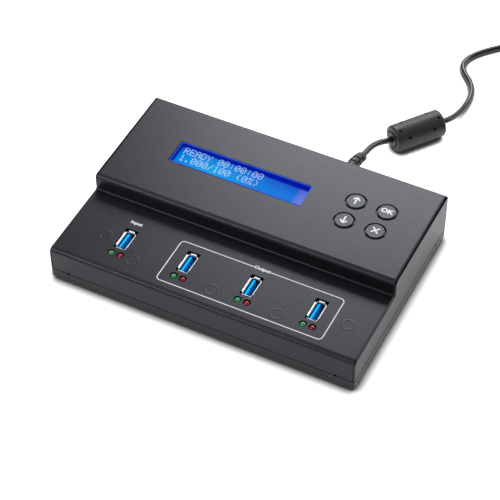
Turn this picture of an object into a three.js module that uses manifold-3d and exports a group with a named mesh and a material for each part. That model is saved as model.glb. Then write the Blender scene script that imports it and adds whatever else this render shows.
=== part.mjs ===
// USB flash drive duplicator: a stepped sheet-steel case with one source port and three target
// ports in its front deck, two lamps by each port, a character display and four push buttons on
// its upper face, and a power lead with a ferrite choke that ends in a wall adapter.
// Millimetres, +X right, +Y to the back, +Z up. The origin is the bottom centre of the case.
import * as THREE from 'three';
import { mergeVertices } from 'three/addons/utils/BufferGeometryUtils.js';
import Module from 'manifold-3d';

const wasm = await Module();
wasm.setup();

// The case; its width and depth follow from what the upper face holds
const DECK_HEIGHT = 21.8; // from the tray's underside to the port deck
const UPPER_HEIGHT = 32; // from the tray's underside to the upper face
const RISER_SETBACK = 50.3; // from the front wall to the riser
const SHEET = 1;
const BEND_RADIUS = 2.8; // outside radius of the bends over the front wall and over the riser
const BACK_BEND_RADIUS = 1.6; // outside radius of the bend over the back wall
const FOOT_BEND_RADIUS = 1.3; // fillet at the foot of the riser
const EDGE_ROUND = 1.4; // where the side walls turn down
const CORNER_ROUND = 0.4; // upright corners of the cover, and of the tray within its rounded edge
const SEAM_HEIGHT = 6.2; // from the tray's underside to the seam
const SEAM_GAP = 0.35;
const SEAM_NOTCH_DIAMETER = 1.8;
const SEAM_NOTCH_INSET = 10.8; // along the front and back walls, from the corner
const SEAM_NOTCH_SIDE_INSET = 14.2; // along the side walls, from the corner
const CORNER_SLIT = 0.3;
const TRAY_EDGE_ROUND = 1.2;
const GROOVE_INSET = 1.1; // from a side wall's outer face to the groove's inner side
const GROOVE_LIP = 0.3; // of the side wall left beside the groove
const GROOVE_DEPTH = 2;
const GROOVE_END_GAP = 2.4; // from the riser and from the back wall to the groove

// Fits
const FIT = 0.3; // between pieces that are cut round each other or turned
const OVERRUN = 2; // how far a cutting tool passes the face that it cuts

// Tray, its tabs, feet and case screws
const TAB_WIDTH = 20;
const TAB_RISE = 6; // above the seam
const TAB_SHARE = 0.6; // of the half width or half depth, from the centre
const FOOT_HEIGHT = 1.5;
const FOOT_DIAMETER = 10;
const FOOT_OFFSET = 7.5; // from a case screw to the foot's centre, along each wall
const POST_DIAMETER = 5.6;
const POST_INSET_X = 5;
const POST_INSET_Y = 6.2;
const SCREW_DIAMETER = 3;
const SCREW_HEAD_DIAMETER = 5.5;
const SCREW_HEAD_HEIGHT = 0.9;
const SCREW_LENGTH = 8; // under the head

// Boards
const BOARD_THICKNESS = 1.6;
const STUD_DIAMETER = 5;
const STUD_BORE = 2.4;
const STUD_BORE_DEPTH = 5;
const STUD_EDGE = 4; // from a stud's axis to the edge of its board

// Ports, seen from above: the long side lies along Y
const PORT_COUNT = 4;
const FIRST_PORT_INSET = 34; // from the left wall
const LAST_PORT_INSET = 32.75; // from the right wall
const PORT_SETBACK = 23.8; // from the front wall to the ports' centres
const SHELL_LENGTH = 13.1;
const SHELL_WIDTH = 5.7;
const SHELL_WALL = 0.4;
const SHELL_CHAMFER = 0.9;
const SHELL_HEIGHT = 13.6; // from the board to the rim
const FLARE = 0.4; // how far the lip stands out of the shell
const FLARE_HEIGHT = 1.1;
const PORT_RECESS = 0.35; // of the rim below the deck
const PORT_CLEARANCE = 0.4;
const PORT_CUT_CHAMFER = 0.5;
const INSULATOR_HEIGHT = 4.6;
const TONGUE_END_GAP = 0.6; // from each end of the tongue to the shell
const TONGUE_THICKNESS = 1.9;
const TONGUE_RECESS = 1.1; // of its tip below the rim
const TONGUE_OFFSET = 0.75; // towards the left wall

// Lamps in front of each port
const LAMP_DIAMETER = 3;
const LAMP_FLANGE_LAP = 0.4; // of the flange beyond the lens
const LAMP_FLANGE_HEIGHT = 1;
const LAMP_LENGTH = 5.3;
const LAMP_PROUD = 0.3;
const LAMP_CLEARANCE = 0.35;
const LAMP_TO_PORT = 11.65; // from the lamps' row to the ports' centres
const GREEN_LAMP_OFFSET = -2.3;
const RED_LAMP_OFFSET = 3.1;
const LAMP_LEAD = 0.5;
const LAMP_LEAD_PITCH = 2.54;

// Studs that carry the port board
const FIRST_STUD_OFFSET = -11.4; // from the first port
const SECOND_STUD_OFFSET = 10.1; // from the first port
const THIRD_STUD_SHARE = 0.523; // of the pitch, past the second port
const FOURTH_STUD_SHARE = 0.538; // of the pitch, past the third port
const LAST_STUD_OFFSET = 18.85; // from the last port
const FRONT_STUD_SETBACK = 12.2; // from the front wall
const BACK_STUD_SETBACK = 21.8;

// Display, in the upper face
const WINDOW_WIDTH = 80.5;
const WINDOW_DEPTH = 16.6;
const WINDOW_INSET = 30.65; // from the left wall to the window
const WINDOW_FROM_RISER = 36.3; // to the window's centre
const WINDOW_FROM_BACK = 34.4; // to the window's centre
const BEZEL_END_MARGIN = 9.25; // beyond the window, at each end
const BEZEL_SIDE_MARGIN = 4.2; // beyond the window, at the front and back
const BEZEL_HEIGHT = 9;
const BEZEL_WALL = 0.5;
const BEZEL_LAP = 1.2; // how far the bezel's opening stands outside the window
const GLASS_THICKNESS = 2.2;
const GLASS_RECESS = 0.9; // below the bezel's face
const DISPLAY_BOARD_END_MARGIN = 17.75; // beyond the window, at each end
const DISPLAY_BOARD_SIDE_MARGIN = 10.2; // beyond the window, at the front and back

// Push buttons
const BOARD_GAP = 1.2; // between the display's board and the buttons' board
const BUTTON_INSET = 24.8; // from the right-hand buttons to the right wall
const BUTTON_SETBACK = 0.45; // of the group's centre behind the window's centre
const BUTTON_PITCH_X = 18.2;
const BUTTON_PITCH_Y = 15.5;
const CAP_DIAMETER = 9.9;
const CAP_PROUD = 0.8;
const CAP_EDGE = 0.45;
const CAP_CLEARANCE = 0.8; // round the cap in its hole
const CAP_FLANGE_LAP = 0.6; // of the flange beyond the hole
const CAP_FLANGE_HEIGHT = 0.8;
const CAP_STEM_DIAMETER = 5;
const CAP_STEM_LENGTH = 3;
const KEY_TRAVEL = 0.35;
const PLUNGER_DIAMETER = 3.5;
const PLUNGER_PROUD = 0.9;
const PLUNGER_DEPTH = 1.2; // inside the switch
const SWITCH_SIZE = 6;
const SWITCH_HEIGHT = 3.5;
const KEY_BOARD_MARGIN = 6.9; // from the outer buttons to the board's ends
const KEY_STUD_OFFSET = 5.6; // of the outer studs beyond the buttons' rows

// Main board and what it carries
const MAIN_BOARD_WIDTH = 140;
const MAIN_BOARD_DEPTH = 60;
const MAIN_BOARD_BACK_GAP = 1.8; // to the inside of the back wall
const MAIN_BOARD_RISE = 3.9; // above the tray's floor
const CHIP_SIZE = 20;
const CHIP_HEIGHT = 1.6;
const CHIP_PLACE_SHARES = [-0.16, -0.1]; // of the board's width and depth, from its centre
const CAPACITOR_DIAMETER = 8;
const CAPACITOR_HEIGHT = 11.5;
const CAPACITOR_PLACE_SHARES = [0.36, 0.4];
const CABLE_THICKNESS = 0.8;
const DISPLAY_CABLE_WIDTH = 20;
const DISPLAY_CABLE_INSET = 17.1; // from the left end of the display's board
const DISPLAY_CABLE_EDGE = 6.4; // from the front edge of the display's board
const KEY_CABLE_WIDTH = 8;
const KEY_CABLE_EDGE = 6; // from the key board's back edge
const PORT_CABLE_WIDTH = 22;
const PORT_CABLE_RISE = 4;
const PORT_CABLE_EDGE = 3; // from the edges of the two boards

// DC socket and plug
const SOCKET_INSET = 63.8; // from the right wall to the socket's axis
const SOCKET_WIDTH = 9;
const SOCKET_DEPTH = 14;
const SOCKET_HEIGHT = 11;
const SOCKET_AXIS_RISE = 6; // above the main board
const SOCKET_BORE_DEPTH = 10.6;
const SOCKET_PIN = 2;
const SOCKET_HOLE = 8.6; // in the back wall
const BARREL_DIAMETER = 5.5;
const BARREL_CLEARANCE = 0.35; // round the barrel in the socket, and round the pin in the barrel
const BARREL_LENGTH = 9.5;
const BARREL_END = 1;
const GRIP_DIAMETER = 10;
const GRIP_LENGTH = 13;
const GRIP_ROUND = 1.2;
const RELIEF_LENGTH = 13.6;
const RELIEF_START_DIAMETER = 7.6;
const RELIEF_END_DIAMETER = 6.4;
const RELIEF_COLLAR = 2.2;
const RELIEF_SLOT = 1;
const RELIEF_SLOT_PITCH = 2.1;
const RELIEF_SLOTS = 5;
const RELIEF_CORE = 4.2;
const RELIEF_SWING = 1.2; // the end's shift to the right
const RELIEF_DROOP = 1.7; // and down

// Power lead
const CORD_DIAMETER = 3.5;
const CORD_SIDES = 8;
const CORD_STEP = 8;
const CHOKE_DIAMETER = 15.6;
const CHOKE_LENGTH = 31.4;
const CHOKE_ROUND = 1.6;
const CHOKE_BOSS_DIAMETER = 8.4;
const CHOKE_BOSS_HEIGHT = 0.6;

// Points of the lead from the plug to the choke, and of its run to the coil
const LEAD_POINTS = [
  [27.4, 87.9, 12.3],
  [27.8, 92.5, 11.6],
  [28.2, 97, 10.9],
  [29.2, 101.4, 10.1],
  [31.3, 105.6, 9.1],
  [34, 109.1, 8.2],
  [36.3, 112.1, 7.9],
];
const RUN_POINTS = [
  [55.7, 137.6, 7.9],
  [57.7, 140.3, 7.8],
  [59.2, 144.6, 6.8],
  [60.1, 150, 5.2],
  [60.7, 157, 3.3],
  [60.9, 164.8, 2.1],
  [60.4, 172.2, 1.8],
  [58.3, 178.9, 1.8],
  [54.6, 184.4, 1.8],
  [49.8, 189.3, 1.8],
  [46.4, 194.6, 1.8],
  [46, 200.6, 1.8],
  [48.7, 207.1, 1.8],
  [53.6, 213.7, 1.8],
  [60.3, 220.7, 1.8],
  [66, 226.1, 2.1],
  [71.6, 231.2, 2.6],
];

// Coil of the lead's spare length: wound inwards in the lower layer, outwards in the upper one
const COIL_START = [78.7, 236.8, 2.75];
const COIL_HEADING = 44; // degrees from +X, where the lead enters
const COIL_TURNS = 7.43;
const COIL_OUTER_RADIUS = 27.3; // of the cord's centre line
const COIL_PITCH = 4; // between turns, and between the layers
const COIL_STEPS = 24; // in one turn
const COIL_SIDES = 6;
const COIL_TURN_BACK_SHARE = 0.1; // of a turn, in which the spiral reverses smoothly
const TIE_WIDTH = 4;
const TIE_THICKNESS = 0.7;
const TIE_ANGLE = 60; // degrees round the coil
const TIE_ROUND = 1.4;
const TAIL_POINTS = [
  [121.5, 199.6, 6.8],
  [120.3, 195, 7.3],
  [119.2, 190.4, 8.4],
  [118.5, 185.8, 10],
  [118.5, 181.2, 11.7],
  [119.5, 177, 12.8],
  [120.6, 174.2, 13],
];

// Wall adapter
const ADAPTER_LENGTH = 62;
const ADAPTER_WIDTH = 42;
const ADAPTER_HEIGHT = 26;
const ADAPTER_ROUND = 4;
const ADAPTER_BEVEL = 2;
const ADAPTER_TURN = -68.6; // degrees from +X, along which the adapter points away from its lead
const ADAPTER_RELIEF_LENGTH = 10;
const ADAPTER_RELIEF_START = 7;
const ADAPTER_RELIEF_END = 5;
const BLADE_LENGTH = 16;
const BLADE_WIDTH = 6.35;
const BLADE_THICKNESS = 1.5;
const BLADE_PITCH = 12.7;

// How finely curves are cut into flat faces
const ROUND_STEPS = 4; // in a quarter turn of a bend
const HOLE_SIDES = 24;
const LAMP_SIDES = 10;
const LAMP_HOLE_SIDES = 16;
const POST_SIDES = 10;
const CAP_SIDES = 24;
const PLUG_SIDES = 16;
const CHOKE_SIDES = 20;

// Sizes and places that follow from the sizes above
const DISPLAY_BOARD_WIDTH = WINDOW_WIDTH + 2 * DISPLAY_BOARD_END_MARGIN;
const DISPLAY_BOARD_DEPTH = WINDOW_DEPTH + 2 * DISPLAY_BOARD_SIDE_MARGIN;
const BEZEL_WIDTH = WINDOW_WIDTH + 2 * BEZEL_END_MARGIN;
const BEZEL_DEPTH = WINDOW_DEPTH + 2 * BEZEL_SIDE_MARGIN;
const KEY_BOARD_WIDTH = BUTTON_PITCH_X + 2 * KEY_BOARD_MARGIN;
const KEY_BOARD_DEPTH = BUTTON_PITCH_Y + 2 * (KEY_STUD_OFFSET + STUD_EDGE);
const DISPLAY_SPAN = WINDOW_INSET + WINDOW_WIDTH + DISPLAY_BOARD_END_MARGIN;
const CASE_WIDTH = DISPLAY_SPAN + BOARD_GAP + KEY_BOARD_MARGIN + BUTTON_PITCH_X + BUTTON_INSET;
const CASE_DEPTH = RISER_SETBACK + WINDOW_FROM_RISER + WINDOW_FROM_BACK;
const CAP_HOLE_DIAMETER = CAP_DIAMETER + 2 * CAP_CLEARANCE;
const CAP_FLANGE_DIAMETER = CAP_HOLE_DIAMETER + 2 * CAP_FLANGE_LAP;
const LAMP_HOLE_DIAMETER = LAMP_DIAMETER + 2 * LAMP_CLEARANCE;
const LAMP_FLANGE_DIAMETER = LAMP_DIAMETER + 2 * LAMP_FLANGE_LAP;
const TONGUE_LENGTH = SHELL_LENGTH - 2 * (SHELL_WALL + TONGUE_END_GAP);
const SOCKET_BORE = BARREL_DIAMETER + 2 * BARREL_CLEARANCE;
const BARREL_BORE = SOCKET_PIN + 2 * BARREL_CLEARANCE;
const FRONT = -CASE_DEPTH / 2;
const BACK = CASE_DEPTH / 2;
const RIGHT = CASE_WIDTH / 2;
const TRAY_FLOOR = FOOT_HEIGHT + SHEET;
const TRAY_RIM = FOOT_HEIGHT + SEAM_HEIGHT;
const COVER_RIM = TRAY_RIM + SEAM_GAP;
const DECK_TOP = FOOT_HEIGHT + DECK_HEIGHT;
const DECK_UNDERSIDE = DECK_TOP - SHEET;
const UPPER_TOP = FOOT_HEIGHT + UPPER_HEIGHT;
const UPPER_UNDERSIDE = UPPER_TOP - SHEET;
const RISER_Y = FRONT + RISER_SETBACK;
const WINDOW_X = WINDOW_INSET + WINDOW_WIDTH / 2 - RIGHT;
const WINDOW_Y = BACK - WINDOW_FROM_BACK;
const BUTTON_X = RIGHT - BUTTON_INSET - BUTTON_PITCH_X / 2;
const BUTTON_Y = WINDOW_Y + BUTTON_SETBACK;
const SOCKET_X = RIGHT - SOCKET_INSET;
const FIRST_PORT_X = FIRST_PORT_INSET - RIGHT;
const PORT_PITCH = (CASE_WIDTH - FIRST_PORT_INSET - LAST_PORT_INSET) / (PORT_COUNT - 1);
const PORT_Y = FRONT + PORT_SETBACK;
const LAMP_Y = PORT_Y - LAMP_TO_PORT;
const PORT_BOARD_TOP = DECK_TOP - PORT_RECESS - SHELL_HEIGHT;
const BEZEL_TOP = UPPER_UNDERSIDE - FIT;
const DISPLAY_BOARD_TOP = BEZEL_TOP - BEZEL_HEIGHT;
const FLANGE_TOP = UPPER_UNDERSIDE - FIT;
const FLANGE_UNDERSIDE = FLANGE_TOP - CAP_FLANGE_HEIGHT;
const PLUNGER_TOP = FLANGE_UNDERSIDE - CAP_STEM_LENGTH;
const SWITCH_TOP = PLUNGER_TOP - PLUNGER_PROUD;
const KEY_BOARD_TOP = SWITCH_TOP - SWITCH_HEIGHT;
const MAIN_BOARD_TOP = TRAY_FLOOR + MAIN_BOARD_RISE + BOARD_THICKNESS;
const MAIN_BOARD_Y = BACK - SHEET - MAIN_BOARD_BACK_GAP - MAIN_BOARD_DEPTH / 2;
const SOCKET_AXIS = MAIN_BOARD_TOP + SOCKET_AXIS_RISE;
const PLUG_START = BACK + FIT;
const PORTS = ['source', 'target_1', 'target_2', 'target_3'].slice(0, PORT_COUNT);
const PORT_XS = PORTS.map((name, index) => FIRST_PORT_X + index * PORT_PITCH);
const STUD_PLACES = [
  [PORT_XS[0] + FIRST_STUD_OFFSET, FRONT + BACK_STUD_SETBACK],
  [PORT_XS[0] + SECOND_STUD_OFFSET, FRONT + FRONT_STUD_SETBACK],
  [PORT_XS[1] + THIRD_STUD_SHARE * PORT_PITCH, FRONT + FRONT_STUD_SETBACK],
  [PORT_XS[2] + FOURTH_STUD_SHARE * PORT_PITCH, FRONT + FRONT_STUD_SETBACK],
  [PORT_XS[PORT_XS.length - 1] + LAST_STUD_OFFSET, FRONT + BACK_STUD_SETBACK],
];
const BUTTONS = [
  ['up', BUTTON_X - BUTTON_PITCH_X / 2, BUTTON_Y + BUTTON_PITCH_Y / 2],
  ['ok', BUTTON_X + BUTTON_PITCH_X / 2, BUTTON_Y + BUTTON_PITCH_Y / 2],
  ['down', BUTTON_X - BUTTON_PITCH_X / 2, BUTTON_Y - BUTTON_PITCH_Y / 2],
  ['cancel', BUTTON_X + BUTTON_PITCH_X / 2, BUTTON_Y - BUTTON_PITCH_Y / 2],
];
const CORNERS = [
  [-1, -1],
  [1, -1],
  [-1, 1],
  [1, 1],
];

// Solids from geometries and back
function positionsOnly(geometry) {
  const bare = geometry.clone();
  bare.deleteAttribute('normal');
  bare.deleteAttribute('uv');
  return mergeVertices(bare, 1e-5);
}

function solid(geometry) {
  const bare = positionsOnly(geometry);
  const vertProperties = new Float32Array(bare.attributes.position.array);
  const triVerts = new Uint32Array(bare.index.array);
  return new wasm.Manifold(new wasm.Mesh({ numProp: 3, vertProperties, triVerts }));
}

function geometryOf(manifold) {
  const mesh = manifold.getMesh();
  const geometry = new THREE.BufferGeometry();
  geometry.setAttribute('position', new THREE.BufferAttribute(mesh.vertProperties, 3));
  geometry.setIndex(new THREE.BufferAttribute(mesh.triVerts, 1));
  return geometry;
}

function joined(first, ...others) {
  return geometryOf(others.reduce((sum, other) => sum.add(solid(other)), solid(first)));
}

function cut(body, ...tools) {
  return geometryOf(tools.reduce((rest, tool) => rest.subtract(solid(tool)), solid(body)));
}

// Simple shapes
function block(low, high) {
  const size = high.map((value, axis) => value - low[axis]);
  const geometry = new THREE.BoxGeometry(...size);
  return geometry.translate(...low.map((value, axis) => value + size[axis] / 2));
}

function rod(diameter, x, y, bottom, top, sides) {
  const geometry = new THREE.CylinderGeometry(diameter / 2, diameter / 2, top - bottom, sides);
  geometry.rotateX(Math.PI / 2);
  return geometry.translate(x, y, (bottom + top) / 2);
}

// A body turned about the Z axis from a profile of [radius, height] pairs, from axis to axis
function turned(profile, sides) {
  const points = profile.map(([radius, height]) => new THREE.Vector2(radius, height));
  return new THREE.LatheGeometry(points, sides).rotateX(Math.PI / 2);
}

function quarterArc(centre, radius, startAngle, turn) {
  return Array.from({ length: ROUND_STEPS + 1 }, (_, step) => {
    const angle = startAngle + (turn * Math.PI * step) / (2 * ROUND_STEPS);
    return new THREE.Vector2(centre[0] + radius * Math.cos(angle), centre[1] + radius * Math.sin(angle));
  });
}

function roundedRectangle(width, height, radius) {
  const [x, y] = [width / 2 - radius, height / 2 - radius];
  return [
    ...quarterArc([x, y], radius, 0, 1),
    ...quarterArc([-x, y], radius, Math.PI / 2, 1),
    ...quarterArc([-x, -y], radius, Math.PI, 1),
    ...quarterArc([x, -y], radius, -Math.PI / 2, 1),
  ];
}

function chamferedRectangle(width, height, chamfer) {
  const [x, y] = [width / 2, height / 2];
  return [
    [x, -y + chamfer],
    [x, y - chamfer],
    [x - chamfer, y],
    [-x + chamfer, y],
    [-x, y - chamfer],
    [-x, -y + chamfer],
    [-x + chamfer, -y],
    [x - chamfer, -y],
  ].map(([u, v]) => new THREE.Vector2(u, v));
}

function prism(outline, bottom, top) {
  const settings = { depth: top - bottom, bevelEnabled: false };
  return new THREE.ExtrudeGeometry(new THREE.Shape(outline), settings).translate(0, 0, bottom);
}

// A closed skin through outlines of equal point count; place() puts an outline's point in space
function lofted(outlines, place) {
  const count = outlines[0].length;
  const last = outlines.length - 1;
  const positions = outlines.flatMap((outline, level) => outline.flatMap((point) => place(point, level)));
  const faces = [];
  for (let level = 0; level < last; level += 1) {
    for (let side = 0; side < count; side += 1) {
      const next = (side + 1) % count;
      const [a, b] = [level * count + side, level * count + next];
      faces.push(a, b, b + count, a, b + count, a + count);
    }
  }
  for (const face of THREE.ShapeUtils.triangulateShape(outlines[0], [])) {
    const [a, b, c] = facingUp(face, outlines[0]);
    faces.push(a, c, b);
  }
  for (const face of THREE.ShapeUtils.triangulateShape(outlines[last], [])) {
    faces.push(...facingUp(face, outlines[last]).map((index) => index + last * count));
  }
  const geometry = new THREE.BufferGeometry();
  geometry.setAttribute('position', new THREE.Float32BufferAttribute(positions, 3));
  geometry.setIndex(faces);
  return geometry;
}

function facingUp([a, b, c], outline) {
  const ccw = !THREE.ShapeUtils.isClockWise([outline[a], outline[b], outline[c]]);
  return ccw ? [a, b, c] : [a, c, b];
}

function material(color, roughness, metalness = 0) {
  return new THREE.MeshStandardMaterial({ color, roughness, metalness });
}

const MATERIALS = {
  powderCoat: material('#2b2c2f', 0.55),
  rubber: material('#161616', 0.9),
  screw: material('#8d8f92', 0.35, 1),
  board: material('#14532d', 0.5),
  tin: material('#c9ccd0', 0.25, 1),
  blue: material('#1478d4', 0.4),
  green: material('#2f8f4d', 0.2),
  red: material('#b51f1f', 0.2),
  glass: material('#1243d8', 0.1),
  diffuser: material('#dfe6f2', 0.5),
  blackPlastic: material('#1b1b1c', 0.5),
  cap: material('#55565a', 0.35),
  cord: material('#3a3a3c', 0.5),
  cable: material('#b9bcc2', 0.6),
};

const duplicator = new THREE.Group();

function place(name, geometry, look, [x, y, z] = [0, 0, 0], parent = duplicator) {
  const mesh = new THREE.Mesh(positionsOnly(geometry), look);
  mesh.name = name;
  mesh.position.set(x, y, z);
  parent.add(mesh);
  return mesh;
}

// The cover's outline seen from the right, as [y, z], moved inwards by inset
function coverOutline(inset, wallInset, rim) {
  const [radius, backRadius] = [BEND_RADIUS - inset, BACK_BEND_RADIUS - inset];
  const [deck, upper] = [DECK_TOP - inset, UPPER_TOP - inset];
  const [front, back, riser] = [FRONT + wallInset, BACK - wallInset, RISER_Y + inset];
  const fillet = FOOT_BEND_RADIUS + inset;
  return [
    new THREE.Vector2(front, rim),
    new THREE.Vector2(back, rim),
    ...quarterArc([back - backRadius, upper - backRadius], backRadius, 0, 1),
    ...quarterArc([riser + radius, upper - radius], radius, Math.PI / 2, 1),
    ...quarterArc([riser - fillet, deck + fillet], fillet, 0, -1),
    ...quarterArc([front + radius, deck - radius], radius, Math.PI / 2, 1),
  ];
}

function coverSkin() {
  const angles = Array.from({ length: ROUND_STEPS + 1 }, (_, step) => (Math.PI * step) / (2 * ROUND_STEPS));
  const ends = angles.map((angle) => ({
    x: RIGHT - EDGE_ROUND + EDGE_ROUND * Math.sin(angle),
    inset: EDGE_ROUND * (1 - Math.cos(angle)),
  }));
  const stations = [...ends.map(({ x, inset }) => ({ x: -x, inset })).reverse(), ...ends];
  const outlines = stations.map(({ inset }) =>
    coverOutline(inset, (inset * CORNER_ROUND) / EDGE_ROUND, COVER_RIM));
  return lofted(outlines, (point, level) => [stations[level].x, point.x, point.y]);
}

function coverHollow() {
  const outline = coverOutline(SHEET, SHEET, COVER_RIM - OVERRUN);
  const ends = [SHEET - RIGHT, RIGHT - SHEET];
  return lofted([outline, outline], (point, level) => [ends[level], point.x, point.y]);
}

function portCutOut(x) {
  const opening = chamferedRectangle(
    SHELL_WIDTH + 2 * (FLARE + PORT_CLEARANCE),
    SHELL_LENGTH + 2 * (FLARE + PORT_CLEARANCE),
    PORT_CUT_CHAMFER,
  );
  return prism(opening, DECK_UNDERSIDE - OVERRUN, DECK_TOP + OVERRUN).translate(x, PORT_Y, 0);
}

function lampHoles(x) {
  const [bottom, top] = [DECK_UNDERSIDE - OVERRUN, DECK_TOP + OVERRUN];
  return [GREEN_LAMP_OFFSET, RED_LAMP_OFFSET].map((offset) =>
    rod(LAMP_HOLE_DIAMETER, x + offset, LAMP_Y, bottom, top, LAMP_HOLE_SIDES));
}

function windowCutOut() {
  return block(
    [WINDOW_X - WINDOW_WIDTH / 2, WINDOW_Y - WINDOW_DEPTH / 2, UPPER_UNDERSIDE - OVERRUN],
    [WINDOW_X + WINDOW_WIDTH / 2, WINDOW_Y + WINDOW_DEPTH / 2, UPPER_TOP + OVERRUN],
  );
}

function buttonHoles() {
  return BUTTONS.map(([, x, y]) =>
    rod(CAP_HOLE_DIAMETER, x, y, UPPER_UNDERSIDE - OVERRUN, UPPER_TOP + OVERRUN, HOLE_SIDES));
}

function socketHole() {
  const hole = new THREE.CylinderGeometry(SOCKET_HOLE / 2, SOCKET_HOLE / 2, SHEET + OVERRUN, HOLE_SIDES);
  return hole.translate(SOCKET_X, BACK, SOCKET_AXIS);
}

// The open corner along each end of the upper face, between the upper sheet and the side wall
function edgeGrooves() {
  const [bottom, top] = [UPPER_TOP - GROOVE_DEPTH, UPPER_TOP + OVERRUN];
  const [start, end] = [RISER_Y + GROOVE_END_GAP, BACK - GROOVE_END_GAP];
  return [-1, 1].map((side) => {
    const [inner, foot, outer] = [GROOVE_INSET, SHEET, GROOVE_LIP].map((inset) => side * (RIGHT - inset));
    const outline = [
      [inner, top],
      [inner, bottom],
      [foot, bottom],
      [outer, UPPER_TOP - SHEET],
      [outer, top],
    ].map(([x, z]) => new THREE.Vector2(x, z));
    const ordered = THREE.ShapeUtils.isClockWise(outline) ? outline.reverse() : outline;
    return lofted([ordered, ordered], (point, level) => [point.x, [end, start][level], point.y]);
  });
}

// Small round notches on the seam, two in each wall
function seamNotches() {
  const radius = SEAM_NOTCH_DIAMETER / 2;
  return CORNERS.flatMap(([sideX, sideY]) => {
    const along = new THREE.CylinderGeometry(radius, radius, SHEET + OVERRUN, POST_SIDES);
    const across = along.clone().rotateZ(Math.PI / 2);
    return [
      along.translate(sideX * (RIGHT - SEAM_NOTCH_INSET), sideY * BACK, TRAY_RIM + SEAM_GAP / 2),
      across.translate(sideX * RIGHT, sideY * (BACK - SEAM_NOTCH_SIDE_INSET), TRAY_RIM + SEAM_GAP / 2),
    ];
  });
}

// Where the front and back walls butt against the side walls
function cornerSlits() {
  return CORNERS.map(([sideX, sideY]) => {
    const top = sideY < 0 ? DECK_TOP - BEND_RADIUS : UPPER_TOP - BACK_BEND_RADIUS;
    const [nearX, nearY] = [RIGHT - SHEET, BACK - SHEET];
    const xs = [sideX * (nearX - CORNER_SLIT), sideX * nearX].sort((a, b) => a - b);
    const ys = [sideY * nearY, sideY * (BACK + OVERRUN)].sort((a, b) => a - b);
    return block([xs[0], ys[0], COVER_RIM - OVERRUN], [xs[1], ys[1], top]);
  });
}

function studs(places, bottom, underside) {
  return places.map(([x, y]) => rod(STUD_DIAMETER, x, y, bottom, underside + SHEET / 2, POST_SIDES));
}

function studBores(places, bottom) {
  return places.map(([x, y]) =>
    rod(STUD_BORE, x, y, bottom - OVERRUN, bottom + STUD_BORE_DEPTH, POST_SIDES));
}

const DISPLAY_STUD_PLACES = CORNERS.map(([sideX, sideY]) => [
  WINDOW_X + sideX * (DISPLAY_BOARD_WIDTH / 2 - STUD_EDGE),
  WINDOW_Y + sideY * (DISPLAY_BOARD_DEPTH / 2 - STUD_EDGE),
]);
const KEY_STUD_PLACES = [-1, 0, 1].map((row) => [
  BUTTON_X,
  BUTTON_Y + row * (BUTTON_PITCH_Y / 2 + KEY_STUD_OFFSET),
]);
const POST_PLACES = CORNERS.map(([sideX, sideY]) => [
  sideX * (RIGHT - POST_INSET_X),
  sideY * (BACK - POST_INSET_Y),
  (sideY < 0 ? DECK_UNDERSIDE : UPPER_UNDERSIDE) + SHEET / 2,
]);

function topCover() {
  const posts = POST_PLACES.map(([x, y, top]) =>
    rod(POST_DIAMETER, x, y, TRAY_FLOOR + FIT, top, POST_SIDES));
  const shell = cut(
    coverSkin(),
    coverHollow(),
    ...PORT_XS.map(portCutOut),
    ...PORT_XS.flatMap(lampHoles),
    windowCutOut(),
    ...buttonHoles(),
    socketHole(),
    ...seamNotches(),
    ...cornerSlits(),
    ...edgeGrooves(),
  );
  const withStuds = joined(
    shell,
    ...posts,
    ...studs(STUD_PLACES, PORT_BOARD_TOP, DECK_UNDERSIDE),
    ...studs(DISPLAY_STUD_PLACES, DISPLAY_BOARD_TOP, UPPER_UNDERSIDE),
    ...studs(KEY_STUD_PLACES, KEY_BOARD_TOP, UPPER_UNDERSIDE),
  );
  const screwBores = POST_PLACES.map(([x, y]) =>
    rod(SCREW_DIAMETER + 2 * FIT, x, y, TRAY_FLOOR - OVERRUN, TRAY_FLOOR + SCREW_LENGTH, POST_SIDES));
  return cut(
    withStuds,
    ...screwBores,
    ...studBores(STUD_PLACES, PORT_BOARD_TOP),
    ...studBores(DISPLAY_STUD_PLACES, DISPLAY_BOARD_TOP),
    ...studBores(KEY_STUD_PLACES, KEY_BOARD_TOP),
  );
}

const MAIN_STUD_PLACES = CORNERS.map(([sideX, sideY]) => [
  sideX * (MAIN_BOARD_WIDTH / 2 - STUD_EDGE),
  MAIN_BOARD_Y + sideY * (MAIN_BOARD_DEPTH / 2 - STUD_EDGE),
]);

// Tabs inside the walls of the cover, bent up from the tray's floor
function trayTabs() {
  const inner = SHEET + FIT;
  const top = TRAY_RIM + TAB_RISE;
  const lowX = RIGHT * TAB_SHARE - TAB_WIDTH / 2;
  const endTabs = CORNERS.map(([sideX, sideY]) => {
    const xs = [sideX * lowX, sideX * (lowX + TAB_WIDTH)].sort((a, b) => a - b);
    const ys = [sideY * (BACK - inner), sideY * (BACK - inner - SHEET)].sort((a, b) => a - b);
    return block([xs[0], ys[0], FOOT_HEIGHT + SHEET / 2], [xs[1], ys[1], top]);
  });
  const sideTabs = [-1, 1].map((sideX) => {
    const xs = [sideX * (RIGHT - inner), sideX * (RIGHT - inner - SHEET)].sort((a, b) => a - b);
    return block([xs[0], -TAB_WIDTH / 2, FOOT_HEIGHT + SHEET / 2], [xs[1], TAB_WIDTH / 2, top]);
  });
  return [...endTabs, ...sideTabs];
}

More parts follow.
